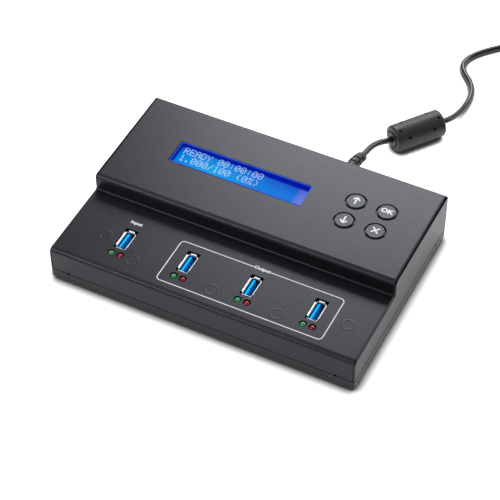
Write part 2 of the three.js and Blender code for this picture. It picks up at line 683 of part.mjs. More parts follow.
function bottomTray() {
  const outline = roundedRectangle(
    CASE_WIDTH - 2 * TRAY_EDGE_ROUND,
    CASE_DEPTH - 2 * TRAY_EDGE_ROUND,
    CORNER_ROUND,
  );
  const settings = {
    depth: SEAM_HEIGHT,
    bevelThickness: TRAY_EDGE_ROUND,
    bevelSize: TRAY_EDGE_ROUND,
    bevelSegments: ROUND_STEPS,
  };
  const slab = new THREE.ExtrudeGeometry(new THREE.Shape(outline), settings);
  slab.translate(0, 0, FOOT_HEIGHT + TRAY_EDGE_ROUND);
  const over = block(
    [-RIGHT - OVERRUN, FRONT - OVERRUN, TRAY_RIM],
    [RIGHT + OVERRUN, BACK + OVERRUN, TRAY_RIM + TRAY_EDGE_ROUND + SEAM_HEIGHT],
  );
  const hollow = block(
    [SHEET - RIGHT, FRONT + SHEET, TRAY_FLOOR],
    [RIGHT - SHEET, BACK - SHEET, TRAY_RIM + OVERRUN],
  );
  const standoffs = MAIN_STUD_PLACES.map(([x, y]) =>
    rod(STUD_DIAMETER, x, y, FOOT_HEIGHT + SHEET / 2, TRAY_FLOOR + MAIN_BOARD_RISE, POST_SIDES));
  const screwHoles = POST_PLACES.map(([x, y]) =>
    rod(SCREW_DIAMETER + 2 * FIT, x, y, FOOT_HEIGHT - OVERRUN, TRAY_FLOOR + OVERRUN, POST_SIDES));
  return cut(joined(cut(slab, over, hollow), ...trayTabs(), ...standoffs), ...screwHoles, ...seamNotches());
}

// The screw's head bears on the underside of the tray
function caseScrew() {
  return turned([
    [0, -SCREW_HEAD_HEIGHT],
    [SCREW_HEAD_DIAMETER / 2, -SCREW_HEAD_HEIGHT],
    [SCREW_HEAD_DIAMETER / 2, 0],
    [SCREW_DIAMETER / 2, 0],
    [SCREW_DIAMETER / 2, SCREW_LENGTH],
    [0, SCREW_LENGTH],
  ], POST_SIDES);
}

function addCase() {
  place('top_cover', topCover(), MATERIALS.powderCoat);
  place('bottom_tray', bottomTray(), MATERIALS.powderCoat);
  CORNERS.forEach(([sideX, sideY], index) => {
    const [postX, postY] = POST_PLACES[index];
    const [x, y] = [postX - sideX * FOOT_OFFSET, postY - sideY * FOOT_OFFSET];
    const foot = rod(FOOT_DIAMETER, 0, 0, 0, FOOT_HEIGHT, HOLE_SIDES);
    place(`rubber_foot_${index + 1}`, foot, MATERIALS.rubber, [x, y, 0]);
    place(`case_screw_${index + 1}`, caseScrew(), MATERIALS.screw, [postX, postY, FOOT_HEIGHT]);
  });
}

function portBoard() {
  const xs = STUD_PLACES.map(([x]) => x);
  const frontEdge = Math.min(LAMP_Y, ...STUD_PLACES.map(([, y]) => y)) - STUD_EDGE;
  const backEdge = PORT_Y + SHELL_LENGTH / 2 + STUD_EDGE;
  return block(
    [Math.min(...xs) - STUD_EDGE, frontEdge, PORT_BOARD_TOP - BOARD_THICKNESS],
    [Math.max(...xs) + STUD_EDGE, backEdge, PORT_BOARD_TOP],
  );
}

// A socket's steel shell: a straight tube with a lip that flares out at its rim
function usbShell() {
  const wide = 2 * FLARE;
  const outer = chamferedRectangle(SHELL_WIDTH, SHELL_LENGTH, SHELL_CHAMFER);
  const outerRim = chamferedRectangle(SHELL_WIDTH + wide, SHELL_LENGTH + wide, SHELL_CHAMFER + FLARE);
  const thin = 2 * SHELL_WALL;
  const inner = chamferedRectangle(SHELL_WIDTH - thin, SHELL_LENGTH - thin, SHELL_CHAMFER);
  const innerRim = chamferedRectangle(
    SHELL_WIDTH - thin + wide,
    SHELL_LENGTH - thin + wide,
    SHELL_CHAMFER + FLARE,
  );
  const outerHeights = [0, SHELL_HEIGHT - FLARE_HEIGHT, SHELL_HEIGHT];
  const innerHeights = [-OVERRUN, SHELL_HEIGHT - FLARE_HEIGHT, SHELL_HEIGHT];
  const skin = lofted([outer, outer, outerRim], (point, level) => [point.x, point.y, outerHeights[level]]);
  const bore = lofted([inner, inner, innerRim], (point, level) => [point.x, point.y, innerHeights[level]]);
  return cut(skin, bore);
}

// The blue insulator: a block at the bottom of the shell with a tongue that holds the contacts
function usbInsulator() {
  const thin = 2 * (SHELL_WALL + FIT);
  const outline = chamferedRectangle(SHELL_WIDTH - thin, SHELL_LENGTH - thin, SHELL_CHAMFER);
  const footing = prism(outline, 0, INSULATOR_HEIGHT);
  const tongue = block(
    [-TONGUE_OFFSET - TONGUE_THICKNESS / 2, -TONGUE_LENGTH / 2, INSULATOR_HEIGHT / 2],
    [-TONGUE_OFFSET + TONGUE_THICKNESS / 2, TONGUE_LENGTH / 2, SHELL_HEIGHT - TONGUE_RECESS],
  );
  return joined(footing, tongue);
}

// A lamp: a domed body on a flange, with two leads down to the board
function lamp() {
  const radius = LAMP_DIAMETER / 2;
  const top = DECK_TOP + LAMP_PROUD - PORT_BOARD_TOP;
  const bottom = top - LAMP_LENGTH;
  const dome = quarterArc([0, top - radius], radius, 0, 1).map((point) => [Math.abs(point.x), point.y]);
  const lens = turned([
    [0, bottom],
    [LAMP_FLANGE_DIAMETER / 2, bottom],
    [LAMP_FLANGE_DIAMETER / 2, bottom + LAMP_FLANGE_HEIGHT],
    [radius, bottom + LAMP_FLANGE_HEIGHT],
    ...dome.slice(0, -1),
    [0, top],
  ], LAMP_SIDES);
  const leads = [-1, 1].map((side) => block(
    [(side * LAMP_LEAD_PITCH - LAMP_LEAD) / 2, -LAMP_LEAD / 2, 0],
    [(side * LAMP_LEAD_PITCH + LAMP_LEAD) / 2, LAMP_LEAD / 2, bottom + LAMP_FLANGE_HEIGHT / 2],
  ));
  return joined(lens, ...leads);
}

function addPorts() {
  place('port_board', portBoard(), MATERIALS.board);
  PORTS.forEach((port, index) => {
    const x = PORT_XS[index];
    place(`usb_shell_${port}`, usbShell(), MATERIALS.tin, [x, PORT_Y, PORT_BOARD_TOP]);
    place(`usb_insulator_${port}`, usbInsulator(), MATERIALS.blue, [x, PORT_Y, PORT_BOARD_TOP]);
    const [green, red] = [x + GREEN_LAMP_OFFSET, x + RED_LAMP_OFFSET];
    place(`green_lamp_${port}`, lamp(), MATERIALS.green, [green, LAMP_Y, PORT_BOARD_TOP]);
    place(`red_lamp_${port}`, lamp(), MATERIALS.red, [red, LAMP_Y, PORT_BOARD_TOP]);
  });
}

// A box round a centre in the upper face's plan
function slabAt(x, y, width, depth, bottom, top) {
  return block([x - width / 2, y - depth / 2, bottom], [x + width / 2, y + depth / 2, top]);
}

function addDisplay() {
  const bottom = DISPLAY_BOARD_TOP - BOARD_THICKNESS;
  const [boardWidth, boardDepth] = [DISPLAY_BOARD_WIDTH, DISPLAY_BOARD_DEPTH];
  const board = slabAt(WINDOW_X, WINDOW_Y, boardWidth, boardDepth, bottom, DISPLAY_BOARD_TOP);
  const innerWidth = BEZEL_WIDTH - 2 * BEZEL_WALL;
  const innerDepth = BEZEL_DEPTH - 2 * BEZEL_WALL;
  const underFace = BEZEL_TOP - BEZEL_WALL;
  const box = slabAt(WINDOW_X, WINDOW_Y, BEZEL_WIDTH, BEZEL_DEPTH, DISPLAY_BOARD_TOP, BEZEL_TOP);
  const hollow = slabAt(WINDOW_X, WINDOW_Y, innerWidth, innerDepth, DISPLAY_BOARD_TOP - OVERRUN, underFace);
  const [openWidth, openDepth] = [WINDOW_WIDTH + 2 * BEZEL_LAP, WINDOW_DEPTH + 2 * BEZEL_LAP];
  const opening = slabAt(WINDOW_X, WINDOW_Y, openWidth, openDepth, underFace - OVERRUN, BEZEL_TOP + OVERRUN);
  const glassTop = BEZEL_TOP - GLASS_RECESS;
  const glassBottom = glassTop - GLASS_THICKNESS;
  const [cellWidth, cellDepth] = [innerWidth - 2 * FIT, innerDepth - 2 * FIT];
  const glass = slabAt(WINDOW_X, WINDOW_Y, cellWidth, cellDepth, glassBottom, glassTop);
  const backlight = slabAt(WINDOW_X, WINDOW_Y, cellWidth, cellDepth, DISPLAY_BOARD_TOP, glassBottom);
  place('display_board', board, MATERIALS.board);
  place('display_bezel', cut(box, hollow, opening), MATERIALS.blackPlastic);
  place('display_glass', glass, MATERIALS.glass);
  place('display_backlight', backlight, MATERIALS.diffuser);
}

function buttonCap() {
  const radius = CAP_DIAMETER / 2;
  const top = UPPER_TOP + CAP_PROUD;
  const edge = quarterArc([radius - CAP_EDGE, top - CAP_EDGE], CAP_EDGE, 0, 1);
  return turned([
    [0, PLUNGER_TOP],
    [CAP_STEM_DIAMETER / 2, PLUNGER_TOP],
    [CAP_STEM_DIAMETER / 2, FLANGE_UNDERSIDE],
    [CAP_FLANGE_DIAMETER / 2, FLANGE_UNDERSIDE],
    [CAP_FLANGE_DIAMETER / 2, FLANGE_TOP],
    [radius, FLANGE_TOP],
    ...edge.map((point) => [point.x, point.y]),
    [0, top],
  ], CAP_SIDES);
}

function switchBody() {
  const body = slabAt(0, 0, SWITCH_SIZE, SWITCH_SIZE, KEY_BOARD_TOP, SWITCH_TOP);
  const bottom = SWITCH_TOP - PLUNGER_DEPTH - KEY_TRAVEL - FIT;
  return cut(body, rod(PLUNGER_DIAMETER + 2 * FIT, 0, 0, bottom, SWITCH_TOP + OVERRUN, POST_SIDES));
}

function addButtons() {
  const bottom = KEY_BOARD_TOP - BOARD_THICKNESS;
  const board = slabAt(BUTTON_X, BUTTON_Y, KEY_BOARD_WIDTH, KEY_BOARD_DEPTH, bottom, KEY_BOARD_TOP);
  place('key_board', board, MATERIALS.board);
  for (const [name, x, y] of BUTTONS) {
    const plunger = rod(PLUNGER_DIAMETER, 0, 0, SWITCH_TOP - PLUNGER_DEPTH, PLUNGER_TOP, POST_SIDES);
    place(`button_cap_${name}`, buttonCap(), MATERIALS.cap, [x, y, 0]);
    place(`switch_plunger_${name}`, plunger, MATERIALS.blackPlastic, [x, y, 0]);
    place(`switch_body_${name}`, switchBody(), MATERIALS.blackPlastic, [x, y, 0]);
  }
}

function dcSocket() {
  const mouth = BACK - SHEET - FIT;
  const body = block(
    [SOCKET_X - SOCKET_WIDTH / 2, mouth - SOCKET_DEPTH, MAIN_BOARD_TOP],
    [SOCKET_X + SOCKET_WIDTH / 2, mouth, MAIN_BOARD_TOP + SOCKET_HEIGHT],
  );
  const boreLength = SOCKET_BORE_DEPTH + OVERRUN;
  const bore = new THREE.CylinderGeometry(SOCKET_BORE / 2, SOCKET_BORE / 2, boreLength, PLUG_SIDES);
  bore.translate(SOCKET_X, mouth - SOCKET_BORE_DEPTH + boreLength / 2, SOCKET_AXIS);
  const pin = new THREE.CylinderGeometry(SOCKET_PIN / 2, SOCKET_PIN / 2, boreLength - FIT, POST_SIDES);
  pin.translate(SOCKET_X, mouth - SOCKET_BORE_DEPTH - OVERRUN + (boreLength - FIT) / 2, SOCKET_AXIS);
  return joined(cut(body, bore), pin);
}

// A flat cable as a strip whose outline [y, z] is drawn seen from the right
function strip(outline, x, width) {
  const points = outline.map(([y, z]) => new THREE.Vector2(y, z));
  const ends = [x - width / 2, x + width / 2];
  return lofted([points, points], (point, level) => [ends[level], point.x, point.y]);
}

function uprightStrip(x, y, width, bottom, top) {
  const half = CABLE_THICKNESS / 2;
  const middle = (bottom + top) / 2;
  const bow = CABLE_THICKNESS;
  return strip([
    [y - half, bottom],
    [y + half, bottom],
    [y + half + bow, middle],
    [y + half, top],
    [y - half, top],
    [y - half + bow, middle],
  ], x, width);
}

// The port cable rises from one board, crosses the step and drops to the other
function portCable() {
  const start = PORT_Y + SHELL_LENGTH / 2 + STUD_EDGE - PORT_CABLE_EDGE;
  const end = MAIN_BOARD_Y - MAIN_BOARD_DEPTH / 2 + PORT_CABLE_EDGE;
  const crest = PORT_BOARD_TOP + PORT_CABLE_RISE;
  return strip([
    [start, PORT_BOARD_TOP],
    [start + CABLE_THICKNESS, PORT_BOARD_TOP],
    [start + CABLE_THICKNESS, crest],
    [end - CABLE_THICKNESS, crest],
    [end - CABLE_THICKNESS, MAIN_BOARD_TOP],
    [end, MAIN_BOARD_TOP],
    [end, crest + CABLE_THICKNESS],
    [start, crest + CABLE_THICKNESS],
  ], (PORT_XS[1] + PORT_XS[2]) / 2, PORT_CABLE_WIDTH);
}

function addMainBoard() {
  const bottom = MAIN_BOARD_TOP - BOARD_THICKNESS;
  const board = slabAt(0, MAIN_BOARD_Y, MAIN_BOARD_WIDTH, MAIN_BOARD_DEPTH, bottom, MAIN_BOARD_TOP);
  const [chipX, chipY] = [
    CHIP_PLACE_SHARES[0] * MAIN_BOARD_WIDTH,
    MAIN_BOARD_Y + CHIP_PLACE_SHARES[1] * MAIN_BOARD_DEPTH,
  ];
  const [capacitorX, capacitorY] = [
    CAPACITOR_PLACE_SHARES[0] * MAIN_BOARD_WIDTH,
    MAIN_BOARD_Y + CAPACITOR_PLACE_SHARES[1] * MAIN_BOARD_DEPTH,
  ];
  const chip = slabAt(0, 0, CHIP_SIZE, CHIP_SIZE, 0, CHIP_HEIGHT);
  const capacitor = rod(CAPACITOR_DIAMETER, 0, 0, 0, CAPACITOR_HEIGHT, PLUG_SIDES);
  place('main_board', board, MATERIALS.board);
  place('controller_chip', chip, MATERIALS.blackPlastic, [chipX, chipY, MAIN_BOARD_TOP]);
  place('bulk_capacitor', capacitor, MATERIALS.tin, [capacitorX, capacitorY, MAIN_BOARD_TOP]);
  place('dc_socket', dcSocket(), MATERIALS.blackPlastic);
}

function addCables() {
  const underDisplay = DISPLAY_BOARD_TOP - BOARD_THICKNESS;
  const x = WINDOW_X - DISPLAY_BOARD_WIDTH / 2 + DISPLAY_CABLE_INSET;
  const y = WINDOW_Y - DISPLAY_BOARD_DEPTH / 2 + DISPLAY_CABLE_EDGE;
  const display = uprightStrip(x, y, DISPLAY_CABLE_WIDTH, MAIN_BOARD_TOP, underDisplay);
  const keyY = BUTTON_Y + KEY_BOARD_DEPTH / 2 - KEY_CABLE_EDGE;
  const keyX = BUTTON_X + BUTTON_PITCH_X / 2;
  const underKeys = KEY_BOARD_TOP - BOARD_THICKNESS;
  place('display_cable', display, MATERIALS.cable);
  place('key_cable', uprightStrip(keyX, keyY, KEY_CABLE_WIDTH, MAIN_BOARD_TOP, underKeys), MATERIALS.cable);
  place('port_cable', portCable(), MATERIALS.cable);
}

// The plug's steel barrel, as a tube with a closed end in the grip
function plugBarrel() {
  const profile = [
    [0, 0],
    [BARREL_DIAMETER / 2, 0],
    [BARREL_DIAMETER / 2, BARREL_LENGTH],
    [BARREL_BORE / 2, BARREL_LENGTH],
    [BARREL_BORE / 2, BARREL_END],
    [0, BARREL_END],
  ];
  return turned(profile, PLUG_SIDES).rotateX(Math.PI / 2);
}

// Slots on alternate sides of the strain relief, which leave its core
function reliefSlots() {
  const reach = RELIEF_START_DIAMETER;
  const first = GRIP_LENGTH + (RELIEF_LENGTH - RELIEF_COLLAR - (RELIEF_SLOTS - 1) * RELIEF_SLOT_PITCH) / 2;
  return Array.from({ length: RELIEF_SLOTS }, (_, index) => index).flatMap((index) => {
    const centre = first + index * RELIEF_SLOT_PITCH;
    const [low, high] = [centre - RELIEF_SLOT / 2, centre + RELIEF_SLOT / 2];
    const core = RELIEF_CORE / 2;
    return [-1, 1].map((side) => {
      const deep = [side * core, side * reach].sort((a, b) => a - b);
      return index % 2 === 0
        ? block([deep[0], -reach, low], [deep[1], reach, high])
        : block([-reach, deep[0], low], [reach, deep[1], high]);
    });
  });
}

// The plug's grip and strain relief; the relief bends to where the lead leaves it
function plugBody() {
  const grip = GRIP_DIAMETER / 2;
  const end = GRIP_LENGTH + RELIEF_LENGTH;
  const round = quarterArc([grip - GRIP_ROUND, GRIP_LENGTH - GRIP_ROUND], GRIP_ROUND, 0, 1);
  const body = turned([
    [0, 0],
    [grip, 0],
    ...round.map((point) => [point.x, point.y]),
    [RELIEF_START_DIAMETER / 2, GRIP_LENGTH],
    [RELIEF_END_DIAMETER / 2, end],
    [0, end],
  ], PLUG_SIDES);
  const bent = cut(body, ...reliefSlots());
  bent.rotateX(-Math.PI / 2);
  const positions = bent.attributes.position;
  for (let index = 0; index < positions.count; index += 1) {
    const along = Math.max(0, positions.getY(index) - GRIP_LENGTH) / RELIEF_LENGTH;
    positions.setX(index, positions.getX(index) + RELIEF_SWING * along * along);
    positions.setZ(index, positions.getZ(index) - RELIEF_DROOP * along * along);
  }
  return bent;
}

// A stretch of the lead between two of its fittings, as a tube along its points
function tube(points) {
  const path = new THREE.CatmullRomCurve3(points);
  const section = Array.from({ length: CORD_SIDES }, (_, side) => {
    const angle = (2 * Math.PI * side) / CORD_SIDES;
    return new THREE.Vector2((CORD_DIAMETER / 2) * Math.cos(angle), (CORD_DIAMETER / 2) * Math.sin(angle));
  });
  const steps = Math.ceil(path.getLength() / CORD_STEP);
  return new THREE.ExtrudeGeometry(new THREE.Shape(section), { steps, extrudePath: path });
}

const asVectors = (points) => points.map((point) => new THREE.Vector3(...point));

// Centre line of the coil: it turns clockwise seen from above and changes layer half-way
function coilPoints() {
  const start = new THREE.Vector3(...COIL_START);
  const heading = THREE.MathUtils.degToRad(COIL_HEADING);
  const firstAngle = heading + Math.PI / 2;
  const toCentre = new THREE.Vector3(Math.cos(heading - Math.PI / 2), Math.sin(heading - Math.PI / 2), 0);
  const centre = start.clone().addScaledVector(toCentre, COIL_OUTER_RADIUS);
  const count = Math.round(COIL_TURNS * COIL_STEPS);
  const smooth = (turns) => Math.hypot(turns, COIL_TURN_BACK_SHARE);
  const innerRadius = COIL_OUTER_RADIUS - COIL_PITCH * smooth(COIL_TURNS / 2);
  const points = Array.from({ length: count + 1 }, (_, step) => {
    const turns = (COIL_TURNS * step) / count;
    const fromMiddle = turns - COIL_TURNS / 2;
    const radius = innerRadius + COIL_PITCH * smooth(fromMiddle);
    const rise = THREE.MathUtils.smoothstep(fromMiddle, -1 / 4, 1 / 4) * COIL_PITCH;
    const angle = firstAngle - 2 * Math.PI * turns;
    const offset = new THREE.Vector3(radius * Math.cos(angle), radius * Math.sin(angle), rise);
    return offset.add(centre);
  });
  return { points, centre };
}

const COIL = coilPoints();

// The coil's centre line with a straight end of one diameter before and after it
function coilLine() {
  const { points } = COIL;
  const last = points.length - 1;
  const before = points[0].clone().sub(points[1]).setLength(CORD_DIAMETER).add(points[0]);
  const after = points[last].clone().sub(points[last - 1]).setLength(CORD_DIAMETER).add(points[last]);
  return [before, ...points, after];
}

const COIL_LINE = coilLine();

function cordCoil() {
  const upwards = new THREE.Vector3(0, 0, 1);
  const section = Array.from({ length: COIL_SIDES }, (_, side) => {
    const angle = (2 * Math.PI * side) / COIL_SIDES;
    return new THREE.Vector2((CORD_DIAMETER / 2) * Math.cos(angle), (CORD_DIAMETER / 2) * Math.sin(angle));
  });
  const last = COIL_LINE.length - 1;
  const across = COIL_LINE.map((point, index) => {
    const ahead = COIL_LINE[Math.min(index + 1, last)].clone().sub(COIL_LINE[Math.max(index - 1, 0)]);
    return upwards.clone().cross(ahead).normalize();
  });
  return lofted(COIL_LINE.map(() => section), (point, level) => {
    const spot = COIL_LINE[level].clone().addScaledVector(across[level], point.x);
    return spot.addScaledVector(upwards, point.y).toArray();
  });
}

// The least space between one stretch of the coil and another, measured on its centre line's points
function leastCoilGap() {
  const { points } = COIL;
  const apart = COIL_STEPS / 4;
  let least = Infinity;
  for (let one = 0; one < points.length; one += 1) {
    for (let other = one + apart; other < points.length; other += 1) {
      least = Math.min(least, points[one].distanceTo(points[other]));
    }
  }
  return least - CORD_DIAMETER;
}

// A flat tie round the whole bundle of turns
function cableTie() {
  const innerRadius = COIL_OUTER_RADIUS - (COIL_PITCH * COIL_TURNS) / 2;
  const opening = COIL_OUTER_RADIUS - innerRadius + CORD_DIAMETER + 2 * FIT;
  const height = COIL_PITCH + CORD_DIAMETER + 2 * FIT;
  const wide = 2 * TIE_THICKNESS;
  const shape = new THREE.Shape(roundedRectangle(opening + wide, height + wide, TIE_ROUND));
  shape.holes.push(new THREE.Path(roundedRectangle(opening, height, TIE_ROUND - TIE_THICKNESS)));
  const band = new THREE.ExtrudeGeometry(shape, { depth: TIE_WIDTH, bevelEnabled: false });
  band.translate(0, 0, -TIE_WIDTH / 2).rotateX(Math.PI / 2);
  return band.translate((COIL_OUTER_RADIUS + innerRadius) / 2, 0, height / 2 + TIE_THICKNESS);
}

// The choke's moulded body, with a low ring round the lead on each end
function ferriteChoke() {
  const radius = CHOKE_DIAMETER / 2;
  const half = CHOKE_LENGTH / 2;
  const shoulder = half - CHOKE_BOSS_HEIGHT;
  const upperEnd = quarterArc([radius - CHOKE_ROUND, shoulder - CHOKE_ROUND], CHOKE_ROUND, 0, 1);
  const halfProfile = [
    ...upperEnd.map((point) => [point.x, point.y]),
    [CHOKE_BOSS_DIAMETER / 2, shoulder],
    [CHOKE_BOSS_DIAMETER / 2, half],
    [0, half],
  ];
  const mirrored = halfProfile.map(([r, z]) => [r, -z]).reverse();
  return turned([...mirrored, ...halfProfile], CHOKE_SIDES);
}

// Its lead enters at the origin, and it points along +X
function wallAdapter() {
  const flat = 2 * ADAPTER_BEVEL;
  const [length, width] = [ADAPTER_LENGTH - flat, ADAPTER_WIDTH - flat];
  const outline = roundedRectangle(length, width, ADAPTER_ROUND - ADAPTER_BEVEL);
  const settings = {
    depth: ADAPTER_HEIGHT - flat,
    bevelThickness: ADAPTER_BEVEL,
    bevelSize: ADAPTER_BEVEL,
    bevelSegments: ROUND_STEPS,
  };
  const body = new THREE.ExtrudeGeometry(new THREE.Shape(outline), settings);
  body.translate(ADAPTER_RELIEF_LENGTH + ADAPTER_LENGTH / 2, 0, ADAPTER_BEVEL);
  const relief = turned([
    [0, 0],
    [ADAPTER_RELIEF_END / 2, 0],
    [ADAPTER_RELIEF_START / 2, ADAPTER_RELIEF_LENGTH],
    [ADAPTER_RELIEF_START / 2, ADAPTER_RELIEF_LENGTH + OVERRUN],
    [0, ADAPTER_RELIEF_LENGTH + OVERRUN],
  ], POST_SIDES).rotateY(Math.PI / 2).translate(0, 0, ADAPTER_HEIGHT / 2);
  const middle = ADAPTER_RELIEF_LENGTH + ADAPTER_LENGTH / 2;
  const blades = [-1, 1].map((side) => block(
    [middle - BLADE_WIDTH / 2, (side * BLADE_PITCH - BLADE_THICKNESS) / 2, ADAPTER_HEIGHT - OVERRUN],
    [middle + BLADE_WIDTH / 2, (side * BLADE_PITCH + BLADE_THICKNESS) / 2, ADAPTER_HEIGHT + BLADE_LENGTH],
  ));
  return joined(body, relief, ...blades);
}

// An end of the coil, moved outwards by the gap kept between touching pieces
const eased = (end, inner) => end.clone().add(end.clone().sub(inner).setLength(FIT));

function addLead() {
  const barrel = plugBarrel().translate(SOCKET_X, PLUG_START, SOCKET_AXIS);
  place('dc_plug_barrel', barrel, MATERIALS.tin);
  place('dc_plug', plugBody(), MATERIALS.cord, [SOCKET_X, PLUG_START, SOCKET_AXIS]);
  const lead = asVectors(LEAD_POINTS);
  const run = asVectors(RUN_POINTS);
  const tail = asVectors(TAIL_POINTS);
  const coilEntry = eased(COIL_LINE[0], COIL_LINE[1]);
  const coilExit = eased(COIL_LINE[COIL_LINE.length - 1], COIL_LINE[COIL_LINE.length - 2]);
  const [enter, leave] = [lead[lead.length - 1], run[0]];
  const axis = leave.clone().sub(enter).normalize();
  const chokeCentre = enter.clone().add(leave).divideScalar(2);
  const choke = new THREE.Group();
  choke.position.copy(chokeCentre);
  choke.quaternion.setFromUnitVectors(new THREE.Vector3(0, 0, 1), axis);
  duplicator.add(choke);
  place('ferrite_choke', ferriteChoke(), MATERIALS.cord, [0, 0, 0], choke);
  place('cord_lead', tube(lead), MATERIALS.cord);
  place('cord_run', tube([...run, coilEntry]), MATERIALS.cord);
  place('cord_coil', cordCoil(), MATERIALS.cord);
  place('cord_tail', tube([coilExit, ...tail]), MATERIALS.cord);
  const tie = new THREE.Group();
  tie.position.set(COIL.centre.x, COIL.centre.y, 0);
  tie.rotation.z = THREE.MathUtils.degToRad(TIE_ANGLE);
  duplicator.add(tie);
  place('cable_tie', cableTie(), MATERIALS.blackPlastic, [0, 0, 0], tie);
  const adapter = new THREE.Group();
  const end = tail[tail.length - 1];
  adapter.position.set(end.x, end.y, 0);
  adapter.rotation.z = THREE.MathUtils.degToRad(ADAPTER_TURN);
  duplicator.add(adapter);
  place('wall_adapter', wallAdapter(), MATERIALS.cord, [FIT, 0, 0], adapter);
}

addCase();
addPorts();
addDisplay();
addButtons();
addMainBoard();
addCables();
addLead();
console.log(`least gap of the coil to itself: ${leastCoilGap().toFixed(2)} mm`);

export default duplicator;
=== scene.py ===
"""Looks of the flash drive duplicator: finer pieces, procedural materials, lights and camera.
Sizes below are in millimetres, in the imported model's frame, and are scaled to metres in mesh()."""
from contextlib import contextmanager
from math import copysign, cos, hypot, pi, radians, sin

import bmesh
import bpy
from mathutils import Matrix, Vector

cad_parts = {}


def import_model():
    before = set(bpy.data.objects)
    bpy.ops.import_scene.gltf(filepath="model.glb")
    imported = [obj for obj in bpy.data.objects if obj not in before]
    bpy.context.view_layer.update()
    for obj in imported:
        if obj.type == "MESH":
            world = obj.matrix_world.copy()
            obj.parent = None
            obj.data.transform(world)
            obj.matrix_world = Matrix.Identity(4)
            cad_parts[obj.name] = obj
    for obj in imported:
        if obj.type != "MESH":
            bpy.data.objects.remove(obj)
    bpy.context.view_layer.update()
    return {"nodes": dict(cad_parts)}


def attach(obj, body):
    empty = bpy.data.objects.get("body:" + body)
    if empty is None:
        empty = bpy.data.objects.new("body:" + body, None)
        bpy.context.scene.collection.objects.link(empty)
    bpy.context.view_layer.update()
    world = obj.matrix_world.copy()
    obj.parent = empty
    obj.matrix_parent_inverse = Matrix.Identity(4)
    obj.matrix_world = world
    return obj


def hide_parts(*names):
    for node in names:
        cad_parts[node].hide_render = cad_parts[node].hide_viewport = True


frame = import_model()

MM = 0.001
NODES = frame["nodes"]
SCENE = bpy.context.scene

# The case, as in the part's source
FRONT, BACK, RIGHT = -60.5, 60.5, 90.0
DECK_TOP, UPPER_TOP, RISER_Y = 23.3, 33.5, -10.2
SHEET, BEND, BACK_BEND, FOOT_BEND, EDGE_ROUND, CORNER_ROUND = 1.0, 2.8, 1.6, 0.8, 1.4, 0.4
TRAY_RIM, COVER_RIM = 7.7, 8.05
PORT_XS = [-56 + 37.75 * index for index in range(4)]
PORT_Y, PORT_BOARD_TOP, PORT_RIM, TONGUE_X, TONGUE = -36.7, 9.35, 22.95, -0.97, 1.4
LAMP_Y, LAMP_OFFSETS, LAMP_TOP = -48.1, (-2.55, 2.85), 23.7
WINDOW_CENTRE, WINDOW_SIZE = (-19.1, 26.1), (80.5, 16.6)
GLASS_TOP, GLASS_BOTTOM = 31.3, 29.1
BUTTONS = {"up": (47.0, 34.3), "ok": (65.2, 34.3), "down": (47.0, 18.8), "cancel": (65.2, 18.8)}
CAP_TOP = 34.3
SOCKET = (26.2, 14.0)
STUDS = [(-67.4, -38.7), (-45.9, -48.3), (1.5, -48.3), (39.8, -48.3), (76.1, -38.7)]
PORTS = ["source", "target_1", "target_2", "target_3"]
CORNERS = [(-1, -1), (-1, 1), (1, -1), (1, 1)]

# The power lead's course
CORD = 3.5
LEAD_POINTS = [
    (27.4, 87.9, 12.3), (27.8, 92.5, 11.6), (28.2, 97, 10.9), (29.2, 101.4, 10.1), (31.3, 105.6, 9.3),
    (34, 109.1, 8.6), (36.3, 112.1, 8.4),
]
RUN_POINTS = [
    (55.7, 137.6, 8.4), (57.7, 140.3, 8.1), (59.2, 144.6, 6.9), (60.1, 150, 5.2), (60.7, 157, 3.3),
    (60.9, 164.8, 2.1), (60.4, 172.2, 1.8), (58.3, 178.9, 1.8), (54.6, 184.4, 1.8), (49.8, 189.3, 1.8),
    (46.4, 194.6, 1.8), (46, 200.6, 1.8), (48.7, 207.1, 1.8), (53.6, 213.7, 1.8), (60.3, 220.7, 1.8),
    (66, 226.1, 2.1), (71.6, 231.2, 2.6),
]
COIL_START, COIL_HEADING, COIL_TURNS, COIL_RADIUS, COIL_PITCH = (78.7, 236.8, 2.75), 44.0, 7.43, 27.3, 4.0
TURN_BACK = 0.1
ADAPTER_TURN = -68.6
TAIL_POINTS = [
    (121.5, 199.6, 6.8), (120.3, 195, 7.3), (119.2, 190.4, 8.4), (118.5, 185.8, 10), (118.5, 181.2, 11.7),
    (119.5, 177, 12.8), (120.6, 174.2, 13),
]


# Meshes
@contextmanager
def opened(data):
    """The mesh data as a bmesh, written back at the end."""
    shaped = bmesh.new()
    shaped.from_mesh(data)
    yield shaped
    shaped.to_mesh(data)
    shaped.free()


def in_scene(name, data):
    piece = bpy.data.objects.new(name, data)
    SCENE.collection.objects.link(piece)
    return piece


def mesh(name, points, faces):
    data = bpy.data.meshes.new(name)
    data.from_pydata([[value * MM for value in point] for point in points], [], faces)
    data.validate()
    with opened(data) as shaped:
        bmesh.ops.remove_doubles(shaped, verts=shaped.verts, dist=1e-7)
        bmesh.ops.recalc_face_normals(shaped, faces=shaped.faces)
    return in_scene(name, data)


def smooth(piece, angle=35):
    with opened(piece.data) as shaped:
        for face in shaped.faces:
            face.smooth = True
        for edge in shaped.edges:
            edge.smooth = len(edge.link_faces) == 2 and edge.calc_face_angle(0) <= radians(angle)
    return piece


def as_shown(piece):
    """A mesh of what the piece's text or modifiers show."""
    graph = bpy.context.evaluated_depsgraph_get()
    return bpy.data.meshes.new_from_object(piece.evaluated_get(graph))


def applied(piece):
    result = as_shown(piece)
    piece.modifiers.clear()
    piece.data = result
    result.name = piece.name
    return piece


def weighted(piece):
    piece.modifiers.new("weighted", "WEIGHTED_NORMAL").keep_sharp = True
    return applied(piece)


